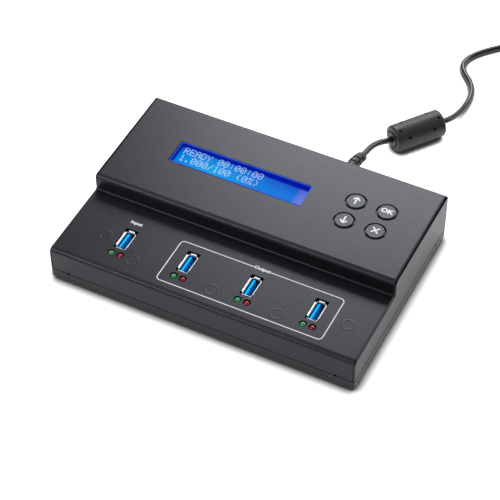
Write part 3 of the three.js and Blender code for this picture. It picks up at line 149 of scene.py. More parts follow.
def merged(name, pieces):
    """One mesh object made of several."""
    data = bpy.data.meshes.new(name)
    with opened(data) as shaped:
        for piece in pieces:
            shaped.from_mesh(piece.data)
            bpy.data.objects.remove(piece, do_unlink=True)
    return in_scene(name, data)


def cut(piece, tools):
    tool = merged("tools", tools)
    modifier = piece.modifiers.new("cut", "BOOLEAN")
    modifier.operation = "DIFFERENCE"
    modifier.solver = "EXACT"
    modifier.object = tool
    applied(piece)
    bpy.data.objects.remove(tool, do_unlink=True)
    return piece


def loft(name, rings, closed_ends=True):
    """A skin through rings of equal point count."""
    count = len(rings[0])
    points = [point for ring in rings for point in ring]
    faces = []
    for level in range(len(rings) - 1):
        for side in range(count):
            a, b = level * count + side, level * count + (side + 1) % count
            faces.append((a, b, b + count, a + count))
    if closed_ends:
        faces.append(tuple(range(count))[::-1])
        faces.append(tuple(range((len(rings) - 1) * count, len(rings) * count)))
    return mesh(name, points, faces)


def tube(name, rings):
    """An open tube: up its outside and down its inside, closed at the foot."""
    piece = loft(name, rings, False)
    with opened(piece.data) as shaped:
        open_edges = [edge for edge in shaped.edges if len(edge.link_faces) == 1]
        bmesh.ops.bridge_loops(shaped, edges=open_edges)
        bmesh.ops.recalc_face_normals(shaped, faces=shaped.faces)
    return piece


def lathe(name, profile, sides=48, smooth_angle=35):
    """A body turned about Z from (radius, height) pairs; the first and last may lie on the axis."""
    points, faces, rows = [], [], []
    for radius, height in profile:
        ring = [(0, 0)] if radius < 1e-6 else circle(0, 0, radius, sides)
        rows.append(list(range(len(points), len(points) + len(ring))))
        points += flat(ring, height)
    for low, high in zip(rows, rows[1:]):
        for side in range(sides):
            after = (side + 1) % sides
            if len(low) == 1:
                faces.append((low[0], high[after], high[side]))
            elif len(high) == 1:
                faces.append((low[side], low[after], high[0]))
            else:
                faces.append((low[side], low[after], high[after], high[side]))
    return smooth(mesh(name, points, faces), smooth_angle)


def moved(piece, x=0, y=0, z=0):
    piece.data.transform(Matrix.Translation((x * MM, y * MM, z * MM)))
    return piece


def turned(piece, axis, degrees):
    piece.data.transform(Matrix.Rotation(radians(degrees), 4, axis))
    return piece


# Outlines, and bodies made from them
def arc(centre, radius, start, turn, steps=8):
    """A quarter circle from the angle start, in degrees; turn is 1 or -1."""
    return [
        (centre[0] + radius * cos(radians(start + turn * 90 * step / steps)),
         centre[1] + radius * sin(radians(start + turn * 90 * step / steps)))
        for step in range(steps + 1)
    ]


def circle(x, y, radius, sides=64):
    angles = [2 * pi * side / sides for side in range(sides)]
    return [(x + radius * cos(angle), y + radius * sin(angle)) for angle in angles]


def round_box(width, depth, radius, steps=6):
    x, y = width / 2 - radius, depth / 2 - radius
    return [
        *arc((x, y), radius, 0, 1, steps), *arc((-x, y), radius, 90, 1, steps),
        *arc((-x, -y), radius, 180, 1, steps), *arc((x, -y), radius, 270, 1, steps),
    ]


def shifted(outline, x, y):
    return [(x + u, y + v) for u, v in outline]


def flat(outline, z):
    return [(x, y, z) for x, y in outline]


def prism(outline, low, high):
    return loft("prism", [flat(outline, z) for z in (low, high)])


def slab(section, low, high):
    """A body along Y with the same (x, z) section throughout."""
    return loft("slab", [[(x, y, z) for x, z in section] for y in (low, high)])


def rounded(edge, height, side, steps=3):
    """(inset, height) pairs up round the bottom edge of a form, for side 1, or its top edge, for side -1."""
    angles = [radians(90 * step / steps) for step in range(steps + 1)][::side]
    return [(edge * (1 - sin(angle)), height + side * edge * (1 - cos(angle))) for angle in angles]


def soft_box(name, x, y, size, corner, low, high, edge, steps=6):
    """An upright block with rounded corners in plan, and rounded top and bottom edges."""
    levels = [
        flat(shifted(round_box(size[0] - 2 * inset, size[1] - 2 * inset, corner, steps), x, y), z)
        for inset, z in rounded(edge, low, 1) + rounded(edge, high, -1)
    ]
    return smooth(loft(name, levels), 50)


def box(corner, opposite):
    """An upright block between two opposite corners, given in any order."""
    xs, ys, zs = (sorted(pair) for pair in zip(corner, opposite))
    return prism([(xs[0], ys[0]), (xs[1], ys[0]), (xs[1], ys[1]), (xs[0], ys[1])], *zs)


def rod(diameter, x, y, low, high, sides=48):
    return prism(circle(x, y, diameter / 2, sides), low, high)


def punch(outline_of, surface, flare=0.14):
    """A tool for a hole whose mouth opens a little at the surface, as paint rounds a hole's edge."""
    levels = [(0, surface - 2.5), (0, surface - flare), (flare * 0.35, surface - flare * 0.35)]
    levels += [(flare, surface), (flare, surface + 2.5)]
    return loft("punch", [flat(outline_of(grow), z) for grow, z in levels])


# Materials
def feed(node, values):
    """Gives each input a constant, or the socket that drives it."""
    for key, value in values.items():
        if isinstance(value, bpy.types.NodeSocket):
            node.id_data.links.new(value, node.inputs[key])
        else:
            node.inputs[key].default_value = value


def add(tree, kind, values, **settings):
    node = tree.nodes.new(f"ShaderNode{kind}")
    for key, value in settings.items():
        setattr(node, key, value)
    feed(node, values)
    return node


def maths(operation, *terms):
    node = add(terms[0].id_data, "Math", dict(enumerate(terms)), operation=operation)
    return node.outputs[0]


def mixed(share, first, second):
    """A colour, from first to second as the share goes from 0 to 1."""
    values = {"Factor": share, 6: first, 7: second}
    return add(share.id_data, "Mix", values, data_type="RGBA").outputs[2]


def ramp(source, stops):
    node = add(source.id_data, "ValToRGB", {"Fac": source})
    elements = node.color_ramp.elements
    while len(elements) < len(stops):
        elements.new(0.5)
    for element, (position, colour) in zip(elements, stops):
        element.position = position
        element.color = (*colour, 1)
    return node.outputs["Color"]


def spread(source, low, high, source_low=0.3, source_high=0.7):
    """The source's range from source_low to source_high, spread from low to high."""
    values = {0: source, 1: source_low, 2: source_high, 3: low, 4: high}
    return add(source.id_data, "MapRange", values).outputs[0]


def within(source, low, high):
    """0 to 1 as a coordinate goes from low to high, in millimetres."""
    return spread(source, 0.0, 1.0, low * MM, high * MM)


def place(tree, kind="Object"):
    return add(tree, "TexCoord", {}).outputs[kind]


def axes(tree, kind="Object"):
    return add(tree, "SeparateXYZ", {"Vector": place(tree, kind)}).outputs


def noise(tree, grain, detail=3.0, stretch=(1, 1, 1), roughness=0.55):
    """Noise in the object's own space; grain is its feature size in millimetres."""
    mapping = add(tree, "Mapping", {"Vector": place(tree), "Scale": stretch})
    return add(tree, "TexNoise", {
        "Vector": mapping.outputs[0], "Scale": 1 / (grain * MM), "Detail": detail, "Roughness": roughness,
    }).outputs["Fac"]


def bump(height, depth, **under):
    values = {"Height": height, "Distance": depth * MM, **under}
    return add(height.id_data, "Bump", values).outputs[0]


def start(name, **constants):
    material = bpy.data.materials.new(name)
    material.use_nodes = True
    shaded(material, {key.replace("_", " "): value for key, value in constants.items()})
    return material, material.node_tree


def shaded(material, values):
    feed(material.node_tree.nodes["Principled BSDF"], values)
    return material


def lit(material, colour, grain, *rough):
    """A surface that also glows in its own colour."""
    gloss = spread(noise(material.node_tree, grain), *rough)
    return shaded(material, {"Base Color": colour, "Emission Color": colour, "Roughness": gloss})


def moulded(name, dark, light, rough=(0.35, 0.5), grain=0.5, depth=0.01, patch=9.0, **constants):
    """Colour and gloss that drift in patches, with a fine grain in relief."""
    material, tree = start(name, **constants)
    wide = noise(tree, patch, 4.0)
    return shaded(material, {
        "Base Color": ramp(wide, [(0.3, dark), (0.7, light)]),
        "Roughness": spread(wide, *rough),
        "Normal": bump(noise(tree, grain), depth),
    })


def powder_coat():
    """Nearly black paint with shallow pits under a fine grain."""
    material, tree = start("powder_coat", Specular_IOR_Level=0.4, Specular_Tint=(0.84, 0.868, 1.0, 1))
    pits = noise(tree, 0.9, 2.0)
    tint = [(0.3, (0.0042, 0.0043, 0.0056)), (0.7, (0.0058, 0.0059, 0.0074))]
    return shaded(material, {
        "Base Color": ramp(noise(tree, 26, 4.0), tint),
        "Roughness": spread(pits, 0.27, 0.35),
        "Normal": bump(noise(tree, 0.32, 2.0), 0.012, Normal=bump(pits, 0.012)),
    })


def circuit_board():
    """Green solder mask over faint tracks."""
    material, tree = start("circuit_board", Specular_IOR_Level=0.5)
    tracks = add(tree, "TexBrick", {
        "Vector": place(tree), "Scale": 140.0, "Mortar Size": 0.045, "Brick Width": 0.9, "Row Height": 0.22,
        "Color1": (0.01, 0.105, 0.038, 1), "Color2": (0.014, 0.13, 0.05, 1), "Mortar": (0.03, 0.22, 0.09, 1),
    })
    return shaded(material, {
        "Base Color": tracks.outputs["Color"],
        "Roughness": spread(noise(tree, 6), 0.28, 0.42),
        "Normal": bump(tracks.outputs["Fac"], 0.03),
    })


def rolled_metal(name, dark, light, rough, stretch, grain=0.25, depth=0.004):
    material, tree = start(name, Metallic=1.0)
    lines = noise(tree, grain, 2.0, stretch)
    return shaded(material, {
        "Base Color": ramp(noise(tree, 5), [(0.25, dark), (0.75, light)]),
        "Roughness": spread(lines, *rough),
        "Normal": bump(lines, depth),
    })


def drawn_steel_painted_shade():
    """Bright at the lips that turn out of the mouth, dull and dark inside it: the dark inside is painted
    shade.
    """
    material, tree = start("drawn_steel_painted_shade", Metallic=0.7)
    # Painted shade: the steel's colour turns dark below the lips, where the mouth lies in shade.
    height = within(axes(tree)["Z"], PORT_RIM - 1.15, PORT_RIM - 0.7)
    wear_and_highlight = noise(tree, 1.6)
    bright = ramp(wear_and_highlight, [(0.3, (0.92, 0.92, 0.9)), (0.7, (0.98, 0.98, 0.96))])
    return shaded(material, {
        "Base Color": mixed(height, (0.06, 0.06, 0.065, 1), bright),
        "Roughness": spread(wear_and_highlight, 0.34, 0.44),
        "Normal": bump(noise(tree, 0.3, 2.0, (1, 1, 0.15)), 0.0008),
    })


def ribbon():
    """Grey ribbon cable: a ridge for each wire."""
    material, tree = start("ribbon_cable", Specular_IOR_Level=0.4)
    wires = add(
        tree, "TexWave", {"Vector": place(tree), "Scale": 250.0, "Distortion": 0.0},
        wave_type="BANDS", bands_direction="X").outputs["Fac"]
    return shaded(material, {
        "Base Color": ramp(wires, [(0.0, (0.25, 0.26, 0.28)), (0.6, (0.42, 0.43, 0.46))]),
        "Roughness": spread(noise(tree, 3), 0.45, 0.6),
        "Normal": bump(wires, 0.2),
    })


def lens(name, deep, pale):
    """Tinted clear epoxy with painted light: pale towards the dome's top as a painted highlight, deep at the
    foot.
    """
    material, tree = start(name, IOR=1.5, Coat_Weight=0.2, Coat_Roughness=0.04)
    height = within(axes(tree)["Z"], LAMP_TOP - 1.5, LAMP_TOP)
    return shaded(material, {
        # Painted highlight: the colour runs from deep at the foot to pale at the top of the dome.
        "Base Color": ramp(height, [(0.0, deep), (1.0, pale)]),
        "Roughness": spread(noise(tree, 1.5), 0.08, 0.16),
    })


def display_panel():
    """The display's lit field, cyan towards its left front, with a painted shadow of the window's edges in
    deep blue along its back and left, and a painted glare at its right end.
    """
    # left_shade and back_shade bound the painted shadow that the window's left and back edges cast on the
    # field.
    left_shade, back_shade, back_slope = (-58.5, -56.6), (31.2, 32.0), 0.022
    sides, rows = (-57, 21), (24, 31.5)
    stops = [
        (0.0, (0.0, 0.17, 0.52), (0.0, 0.1, 0.48)), (0.3, (0.0, 0.25, 0.56), (0.0, 0.15, 0.48)),
        (0.62, (0.0, 0.14, 0.5), (0.0, 0.08, 0.43)), (0.915, (0.0, 0.12, 0.5), (0.0, 0.055, 0.42)),
        # The last two stops paint a pale lavender glare at the field's right end.
        (0.935, (0.06, 0.13, 0.51), (0.04, 0.07, 0.43)), (1.0, (0.13, 0.165, 0.53), (0.09, 0.11, 0.46)),
    ]
    material, tree = start(
        "display_panel", Coat_Weight=0.05, Coat_Roughness=0.03, Coat_IOR=1.4, Specular_IOR_Level=0.0,
        Emission_Strength=0.35)
    x, y, _ = axes(tree)
    back = spread(maths("MULTIPLY_ADD", x, back_slope, y), 1.0, 0.0, *(edge * MM for edge in back_shade))
    along = within(x, *sides)
    front = ramp(along, [(stop, tint) for stop, tint, _ in stops])
    rear = ramp(along, [(stop, tint) for stop, _, tint in stops])
    field = mixed(within(y, *rows), front, rear)
    # Painted shadow: the field turns deep blue where the window's edges shade it.
    colour = mixed(maths("MULTIPLY", within(x, *left_shade), back), (0.0, 0.009, 0.33, 1), field)
    return lit(material, colour, 2, 0.4, 0.5)


def window_rim():
    """Clear rim of the display's window with a painted glow: deep blue, with a painted highlight as a paler
    top edge.
    """
    material, tree = start("window_rim", Specular_IOR_Level=0.2, Emission_Strength=0.35)
    # Painted highlight: the rim's colour grows paler towards its top edge.
    height = within(axes(tree)["Z"], UPPER_TOP - 0.55, UPPER_TOP - 0.25)
    colour = ramp(height, [(0.0, (0.0, 0.012, 0.38)), (1.0, (0.01, 0.09, 0.66))])
    return lit(material, colour, 1.5, 0.3, 0.45)


def glowing(name, dark, light, strength):
    material, tree = start(name, Emission_Strength=strength, Specular_IOR_Level=0.1)
    colour = ramp(noise(tree, 1.2), [(0.3, dark), (0.7, light)])
    return lit(material, colour, 0.6, 0.4, 0.5)


def choke_plastic():
    """Black plastic with a coarse spark-eroded grain."""
    material, tree = start("choke_plastic", Specular_IOR_Level=0.5)
    sand = noise(tree, 0.45, 4.0, roughness=0.7)
    return shaded(material, {
        "Base Color": ramp(sand, [(0.36, (0.0012, 0.0012, 0.0014)), (0.66, (0.022, 0.023, 0.026))]),
        "Roughness": spread(noise(tree, 8), 0.38, 0.46),
        "Normal": bump(sand, 0.08),
    })


# Grain, depth and patch of the cord's soft plastic
SOFT = (0.7, 0.012, 12)
LOOKS = {
    "coat": powder_coat(),
    "print": moulded("white_print", (0.74, 0.74, 0.74), (0.82, 0.82, 0.82), (0.45, 0.6), 0.15, 0.004, 2),
    "rubber": moulded("foot_rubber", (0.014, 0.014, 0.014), (0.022, 0.022, 0.022), (0.75, 0.9), 0.4, 0.03),
    "screw": rolled_metal("screw_zinc", (0.5, 0.51, 0.52), (0.62, 0.63, 0.65), (0.25, 0.4), (1, 1, 8)),
    "board": circuit_board(),
    "tin": rolled_metal("bright_tin", (0.86, 0.86, 0.85), (0.93, 0.93, 0.92), (0.24, 0.34), (1, 1, 0.15),
                        depth=0.0015),
    "shell": drawn_steel_painted_shade(),
    "brass": rolled_metal("contact_gold", (0.8, 0.4, 0.1), (0.92, 0.5, 0.16), (0.2, 0.32), (1, 1, 0.2)),
    "dark_contact": rolled_metal("contact_bronze", (0.018, 0.014, 0.014), (0.035, 0.024, 0.02), (0.35, 0.45),
                                 (1, 1, 0.2)),
    # Painted light: the insulator's blue glow brightens the faces that lie in shade.
    "blue": moulded("blue_insulator", (0.0, 0.42, 0.76), (0.0, 0.48, 0.82), (0.5, 0.6), 0.4, 0.01, 3,
                    Specular_IOR_Level=0.04, Emission_Color=(0.0, 0.1, 0.55, 1), Emission_Strength=0.5),
    # The lenses' pale colours are painted highlights at the top of each dome.
    "green": lens("green_lens", (0.0, 0.12, 0.03), (0.03, 0.32, 0.11)),
    "red": lens("red_lens", (0.1, 0.0, 0.002), (0.27, 0.003, 0.008)),
    "panel": display_panel(),
    "dots": glowing("lit_dots", (0.34, 0.45, 0.6), (0.42, 0.53, 0.66), 0.4),
    "rim": window_rim(),
    "diffuser": moulded("diffuser", (0.6, 0.63, 0.68), (0.7, 0.73, 0.78), (0.4, 0.55), 0.8, 0.02),
    "black": moulded("black_plastic", (0.01, 0.01, 0.011), (0.016, 0.016, 0.017), (0.4, 0.52), 0.35, 0.012),
    "cap": moulded("key_cap", (0.01, 0.0105, 0.012), (0.014, 0.0145, 0.016), (0.24, 0.32), 0.3, 0.004, 4,
                   Specular_IOR_Level=0.44, Specular_Tint=(0.79, 0.83, 1.0, 1)),
    # Grey ring for the keys' top edges: a painted highlight.
    "edge": moulded("key_painted_highlight", (0.2, 0.21, 0.23), (0.28, 0.29, 0.32), (0.35, 0.5), 0.3, 0.004, 3),
    "cord": moulded("cord_jacket", (0.005, 0.005, 0.006), (0.009, 0.009, 0.01), (0.18, 0.26), *SOFT,
                    Specular_IOR_Level=0.52),
    "plug": moulded("plug_moulding", (0.01, 0.01, 0.011), (0.016, 0.016, 0.017), (0.36, 0.46), *SOFT,
                    Specular_IOR_Level=0.52),
    "choke": choke_plastic(),
    "adapter": moulded("adapter_plastic", (0.016, 0.016, 0.017), (0.022, 0.022, 0.024), (0.45, 0.6),
                       0.55, 0.035),
    "nickel": rolled_metal("blade_nickel", (0.7, 0.69, 0.66), (0.8, 0.79, 0.76), (0.18, 0.3), (1, 1, 0.2)),
    "ribbon": ribbon(),
    "sleeve": moulded("capacitor_sleeve", (0.02, 0.03, 0.09), (0.03, 0.045, 0.13), (0.25, 0.35), 0.5, 0.01),
}


def dress(piece, look):
    piece.data.materials.clear()
    piece.data.materials.append(LOOKS[look])


def finished(piece, look, body="case", replaces=()):
    dress(piece, look)
    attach(piece, body)
    if replaces:
        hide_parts(*replaces)
    return piece


# Camera, fitted to the photograph's edges
def camera():
    right = Vector((0.89410323, 0.4477779, -0.00862379))
    up = Vector((-0.32482321, 0.66160882, 0.67584291))
    back = Vector((0.3083331, -0.60147212, 0.73699524))
    data = bpy.data.cameras.new("camera")
    data.sensor_width = 36
    data.lens = 131.953
    data.clip_start, data.clip_end = 0.01, 50
    eye = in_scene("camera", data)
    basis = Matrix((right, up, back)).transposed().to_4x4()
    eye.matrix_world = Matrix.Translation(Vector((308.94, -602.69, 744.35)) * MM) @ basis
    SCENE.camera = eye


camera()


# Power lead: one cord from the plug through the choke and the coil to the adapter
def between(t, start, end, first, last):
    """First at the parameter start, last at its end."""
    return first * (end - t) / (end - start) + last * (t - start) / (end - start)


def catmull(points, step=1.5):
    """Centripetal Catmull-Rom samples through the points."""
    knots = [Vector(point) for point in points]
    knots = [2 * knots[0] - knots[1], *knots, 2 * knots[-1] - knots[-2]]
    line = []
    for p0, p1, p2, p3 in zip(knots, knots[1:], knots[2:], knots[3:]):
        t1 = (p1 - p0).length ** 0.5
        t2 = t1 + (p2 - p1).length ** 0.5
        t3 = t2 + (p3 - p2).length ** 0.5
        count = max(1, round((p2 - p1).length / step))
        for index in range(count):
            t = t1 + (t2 - t1) * index / count
            a1, a2, a3 = between(t, 0, t1, p0, p1), between(t, t1, t2, p1, p2), between(t, t2, t3, p2, p3)
            line.append(between(t, t1, t2, between(t, 0, t2, a1, a2), between(t, t1, t3, a2, a3)))
    line.append(knots[-2])
    return line


def coil_line(steps=60):
    heading = radians(COIL_HEADING)
    first = heading + pi / 2
    to_centre = Vector((cos(heading - pi / 2), sin(heading - pi / 2), 0))
    centre = Vector(COIL_START) + to_centre * COIL_RADIUS
    count = round(COIL_TURNS * steps)
    inner = COIL_RADIUS - COIL_PITCH * hypot(COIL_TURNS / 2, TURN_BACK)
    line = []
    for step in range(count + 1):
        turns = COIL_TURNS * step / count
        off = turns - COIL_TURNS / 2
        radius = inner + COIL_PITCH * hypot(off, TURN_BACK)
        share = min(1, max(0, (off + 0.25) / 0.5))
        rise = share * share * (3 - 2 * share) * COIL_PITCH
        angle = first - 2 * pi * turns
        line.append(centre + Vector((radius * cos(angle), radius * sin(angle), rise)))
    return line, centre


COIL_LINE, COIL_CENTRE = coil_line()


def power_cord():
    into_adapter = 14
    before = COIL_LINE[0] + (COIL_LINE[0] - COIL_LINE[1]).normalized() * CORD
    after = COIL_LINE[-1] + (COIL_LINE[-1] - COIL_LINE[-2]).normalized() * CORD
    way_in = catmull([*LEAD_POINTS, *RUN_POINTS, before, COIL_LINE[0]])
    turn = radians(ADAPTER_TURN)
    inside = Vector(TAIL_POINTS[-1]) + into_adapter * Vector((cos(turn), sin(turn), 0))
    way_out = catmull([COIL_LINE[-1], after, *TAIL_POINTS, inside])
    line = [*way_in, *COIL_LINE[1:-1], *way_out]
    data = bpy.data.curves.new("power_cord", "CURVE")
    data.dimensions = "3D"
    data.bevel_depth = CORD / 2 * MM
    data.bevel_resolution = 5
    data.use_fill_caps = True
    spline = data.splines.new("POLY")
    spline.points.add(len(line) - 1)
    for point, spot in zip(spline.points, line):
        point.co = (*(spot * MM), 1)
    spline.use_smooth = True
    piece = in_scene("power_cord", data)
    finished(piece, "cord", replaces=["cord_lead", "cord_run", "cord_coil", "cord_tail"])
    return piece, sum((b - a).length for a, b in zip(line, line[1:])) * MM


cord, cord_length = power_cord()


def facing(origin, direction):
    """Puts a body that was made along +Z at origin, along direction."""
    turn = Vector((0, 0, 1)).rotation_difference(Vector(direction)).to_matrix().to_4x4()
    return Matrix.Translation(Vector(origin) * MM) @ turn


def choke():
    """The clip-on choke's sleeve, with a ring round the cord at each end and small latch holes."""
    radius, half, edge, boss, bore, middle = 8.0, 16.4, 1.4, 4.4, 2.1, 5
    latch_holes = ((12.6, -107, 1.7), (8.1, -65, 1.7), (8.1, -158, 2.2))
    set_back = 0.8
    shoulder = half - 0.6
    end = [
        *arc((radius - edge, shoulder - edge), edge, 0, 1, 8),
        (boss + 0.9, shoulder), (boss + 0.7, shoulder - 0.5), (boss + 0.2, shoulder - 0.5),
        (boss, half - 0.2), (boss - 0.3, half), (bore, half), (bore - 0.2, half - 1.5),
    ]
    profile = [
        (0, -half + 1.5), *[(r, -z) for r, z in reversed(end)], (radius, -middle), (radius, middle), *end,
        (0, half - 1.5),
    ]
    body = lathe("ferrite_sleeve", profile, 72)
    holes = []
    for along, angle, wide in latch_holes:
        for side in (-1, 1):
            for half_turn in (0, 180):
                hole = turned(rod(wide, 0, 0, radius - 1.4, radius + 1, 20), "Y", 90)
                holes.append(moved(turned(hole, "Z", angle + half_turn), 0, 0, side * along))
    smooth(cut(body, holes))
    enter, leave = Vector(LEAD_POINTS[-1]), Vector(RUN_POINTS[0])
    course = (leave - enter).normalized()
    body.data.transform(facing((enter + leave) / 2 - set_back * course, course))
    return finished(weighted(body), "choke", replaces=["ferrite_choke"])


def plug_body():
    """Moulded grip with ribs, and a strain relief slotted on alternate sides."""
    grip_length, grip_radius, relief_length = 13, 5, 13.6
    pitch, slots, half_slot, core, reach = 2.1, 5, 0.55, 1.9, 7.6
    droop_x, droop_z = 1.2, 1.7
    ribs = []
    for index in range(3):
        base = 2.2 + index * pitch
        ribs += [(grip_radius, base), (4.7, base + 0.3), (4.7, base + 0.9), (grip_radius, base + 1.2)]
    grip = lathe("plug_grip", [
        (0, 0), (4.6, 0), *arc((4.6, 0.4), 0.4, 270, 1, 4)[1:], *ribs, (grip_radius, 11.8),
        *arc((3.8, 11.8), 1.2, 0, 1, 6)[1:], (3.8, grip_length), (0, grip_length),
    ], 64)
    relief = lathe("plug_relief", [
        (0, grip_length - 0.5), (3.8, grip_length - 0.5), (3.8, grip_length), (3.35, 24.3), (3.35, 24.45),
        (3.25, 26.3), (3.0, 26.6), (0, 26.6),
    ], 64)
    tools = []
    first = grip_length + (relief_length - 2.2 - (slots - 1) * pitch) / 2
    for index in range(slots):
        centre = first + index * pitch
        low, high = centre - half_slot, centre + half_slot
        for side in (-1, 1):
            near, far = side * core, side * reach
            if index % 2 == 0:
                tools.append(box((near, -reach, low), (far, reach, high)))
            else:
                tools.append(box((-reach, near, low), (reach, far, high)))
    both = turned(merged("plug_moulding", [grip, cut(relief, tools)]), "X", -90)
    for vertex in both.data.vertices:
        share = max(0, vertex.co.y / MM - grip_length) / relief_length
        vertex.co.x += droop_x * share * share * MM
        vertex.co.z -= droop_z * share * share * MM
    smooth(moved(both, SOCKET[0], BACK + 0.3, SOCKET[1]), 40)
    return finished(weighted(both), "plug", replaces=["dc_plug"])


def tie():
    """The tie's band round the bundle, its head and its cut tail."""
    inner = COIL_RADIUS - COIL_PITCH * COIL_TURNS / 2
    slack, thick, half_width = 0.6, 0.7, 2.0
    opening, height = COIL_RADIUS - inner + CORD + slack, COIL_PITCH + CORD + slack
    outer = round_box(opening + 2 * thick, height + 2 * thick, 2 * thick)
    hole = round_box(opening, height, thick)
    band = tube("band", [
        flat(outer, -half_width), flat(outer, half_width), flat(hole, half_width), flat(hole, -half_width),
    ])
    left, top = -opening / 2, height / 2 + thick
    head = moved(soft_box("head", 0, 0, (5.2, 3.6), 0.6, -2.6, 2.6, 0.3), left + 4.2, top + 1.2, 0)
    tail = moved(soft_box("tail", 0, 0, (5.5, 1.0), 0.2, -1.8, 1.8, 0.1), left + 8.6, top + 0.8, 0)
    whole = turned(merged("cord_tie", [band, head, tail]), "X", 90)
    turned(moved(whole, (COIL_RADIUS + inner) / 2, 0, top), "Z", 60)
    smooth(moved(whole, COIL_CENTRE.x, COIL_CENTRE.y, 0), 40)
    return finished(weighted(whole), "black", replaces=["cable_tie"])


def adapter():
    """Two-part moulded case with a seam, a ribbed relief and two blades with holes."""
    length, width, height, corner, edge = 62, 42, 26, 4, 2
    blade_y, half_blade, half_thick, blade_end = 6.35, 3.175, 0.75, 42
    middle, seam = 10 + length / 2, height / 2
    insets = [
        *rounded(edge, 0, 1, 6),
        (0, seam - 0.3), (0.35, seam - 0.2), (0.35, seam + 0.2), (0, seam + 0.3),
        *rounded(edge, height, -1, 6),
        (6, height), (6.3, height - 0.3), (6.8, height - 0.3), (7.1, height),
    ]
    levels = []
    for inset, z in insets:
        outline = round_box(length - 2 * inset, width - 2 * inset, corner - min(inset, 3) * 0.6, 8)
        levels.append(flat(shifted(outline, middle, 0), z))
    profile = [(0, 0), (2.3, 0), (2.5, 0.25)]
    for index in range(4):
        base, wide = 1.2 + index * 2.0, 2.6 + index * 0.25
        profile += [(wide, base), (wide, base + 0.9), (wide - 0.5, base + 1.1), (wide - 0.5, base + 1.7)]
    profile += [(3.5, 9.6), (3.5, 11), (0, 11)]
    relief = moved(turned(lathe("relief", profile, 40), "Y", 90), 0, 0, seam)
    body = merged("adapter_case", [loft("shell", levels), relief])
    section = shifted([
        (-half_blade, height - 1.5), (half_blade, height - 1.5), (half_blade, blade_end - 1.4),
        (2.2, blade_end), (-2.2, blade_end), (-half_blade, blade_end - 1.4),
    ], middle, 0)
    blades = []
    for y in (-blade_y, blade_y):
        hole = moved(turned(rod(3.0, 0, 0, -3, 3, 32), "X", 90), middle, y, 38)
        blades.append(cut(slab(section, y - half_thick, y + half_thick), [hole]))
    pins = merged("adapter_blades", blades)
    for piece in (body, pins):
        turned(moved(piece, 0.3, 0, 0), "Z", ADAPTER_TURN)
        weighted(smooth(moved(piece, TAIL_POINTS[-1][0], TAIL_POINTS[-1][1], 0), 40))
    finished(body, "adapter", replaces=["wall_adapter"])
    finished(pins, "nickel")
    return body, pins


sleeve = choke()
plug_body()
tie()
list(adapter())


# The cover: one folded sheet with its holes punched through
def cover_outline(inset, wall_inset, rim, corner=0.0):
    """The cover seen from the right, as (y, z), moved inwards by inset."""
    radius, rear = BEND - inset, BACK_BEND - inset
    soft = radius + corner
    deck, upper = DECK_TOP - inset, UPPER_TOP - inset
    front, back, riser = FRONT + wall_inset, BACK - wall_inset, RISER_Y + inset
    fillet = FOOT_BEND + inset
    return [
        (front, rim), (back, rim),
        *arc((back - rear, upper - rear), rear, 0, 1),
        *arc((riser + radius, upper - radius), radius, 90, 1),
        *arc((riser - fillet, deck + fillet), fillet, 0, -1),
        *arc((front + soft, deck - soft), soft, 90, 1),
    ]


def edge_groove(side):
    """The open corner between the upper sheet's rounded edge and the side wall."""
    inner, lip, soft = 0.9, 0.25, 1.1
    profile = [
        (inner + soft + 0.1, UPPER_TOP + 2), (inner + soft + 0.1, UPPER_TOP),
        *shifted([(-u, v) for u, v in arc((0, 0), soft, 90, -1, 6)][1:], inner + soft, UPPER_TOP - soft),
        (inner, UPPER_TOP - 2.2), (lip + 0.1, UPPER_TOP - 1.7), (lip, UPPER_TOP - 1), (lip, UPPER_TOP + 2),
    ]
    return slab([(side * (RIGHT - inset), z) for inset, z in profile], RISER_Y + 0.9, BACK - 1.6)


def riser_slit(side):
    """The groove goes on down the riser's edge as a narrow slit."""
    near, far = side * (RIGHT - 0.8), side * (RIGHT - 0.35)
    return box((near, RISER_Y - 2, DECK_TOP + 1.6), (far, RISER_Y + 1.4, UPPER_TOP - 0.4))


def notches():
    """Tools for the small notches on the seam, two near each corner."""
    width, from_side, from_back, z = 1.8, 10.8, 14.2, TRAY_RIM + 0.175
    tools = []
    for side_x, side_y in CORNERS:
        along = turned(rod(width, 0, 0, -2, 2, 32), "X", 90)
        tools.append(moved(along, side_x * (RIGHT - from_side), side_y * BACK, z))
        across = turned(rod(width, 0, 0, -2, 2, 32), "Y", 90)
        tools.append(moved(across, side_x * RIGHT, side_y * (BACK - from_back), z))
    return tools


def corner_slit(side_x, side_y):
    """The open joint between the front or back wall and a side wall."""
    top = DECK_TOP - BEND if side_y < 0 else UPPER_TOP - BACK_BEND
    near, far = side_x * (RIGHT - 1.3), side_x * (RIGHT - 1.0)
    return box((near, side_y * (BACK - 1.0), COVER_RIM - 2), (far, side_y * (BACK + 2), top))


def cover_holes():
    """Punches for the ports, lamps, window and buttons, and the power socket's hole."""
    tools = []
    for x in PORT_XS:
        tools.append(punch(lambda grow, x=x: shifted(
            round_box(7.3 + 2 * grow, 14.9 + 2 * grow, 0.3 + grow, 4), x, PORT_Y + 0.2), DECK_TOP))
        for offset in LAMP_OFFSETS:
            tools.append(punch(lambda grow, x=x + offset: circle(x, LAMP_Y, 2.05 + grow, 40), DECK_TOP))
    width, depth = WINDOW_SIZE
    tools.append(punch(lambda grow: shifted(
        round_box(width + 2 * grow, depth + 2 * grow, 0.3 + grow, 4), *WINDOW_CENTRE), UPPER_TOP))
    for x, y in BUTTONS.values():
        tools.append(punch(lambda grow, x=x, y=y: circle(x, y, 6.05 + grow), UPPER_TOP))
    socket = turned(rod(8.6, 0, 0, -1.5, 1.5), "X", 90)
    return [*tools, moved(socket, SOCKET[0], BACK, SOCKET[1])]


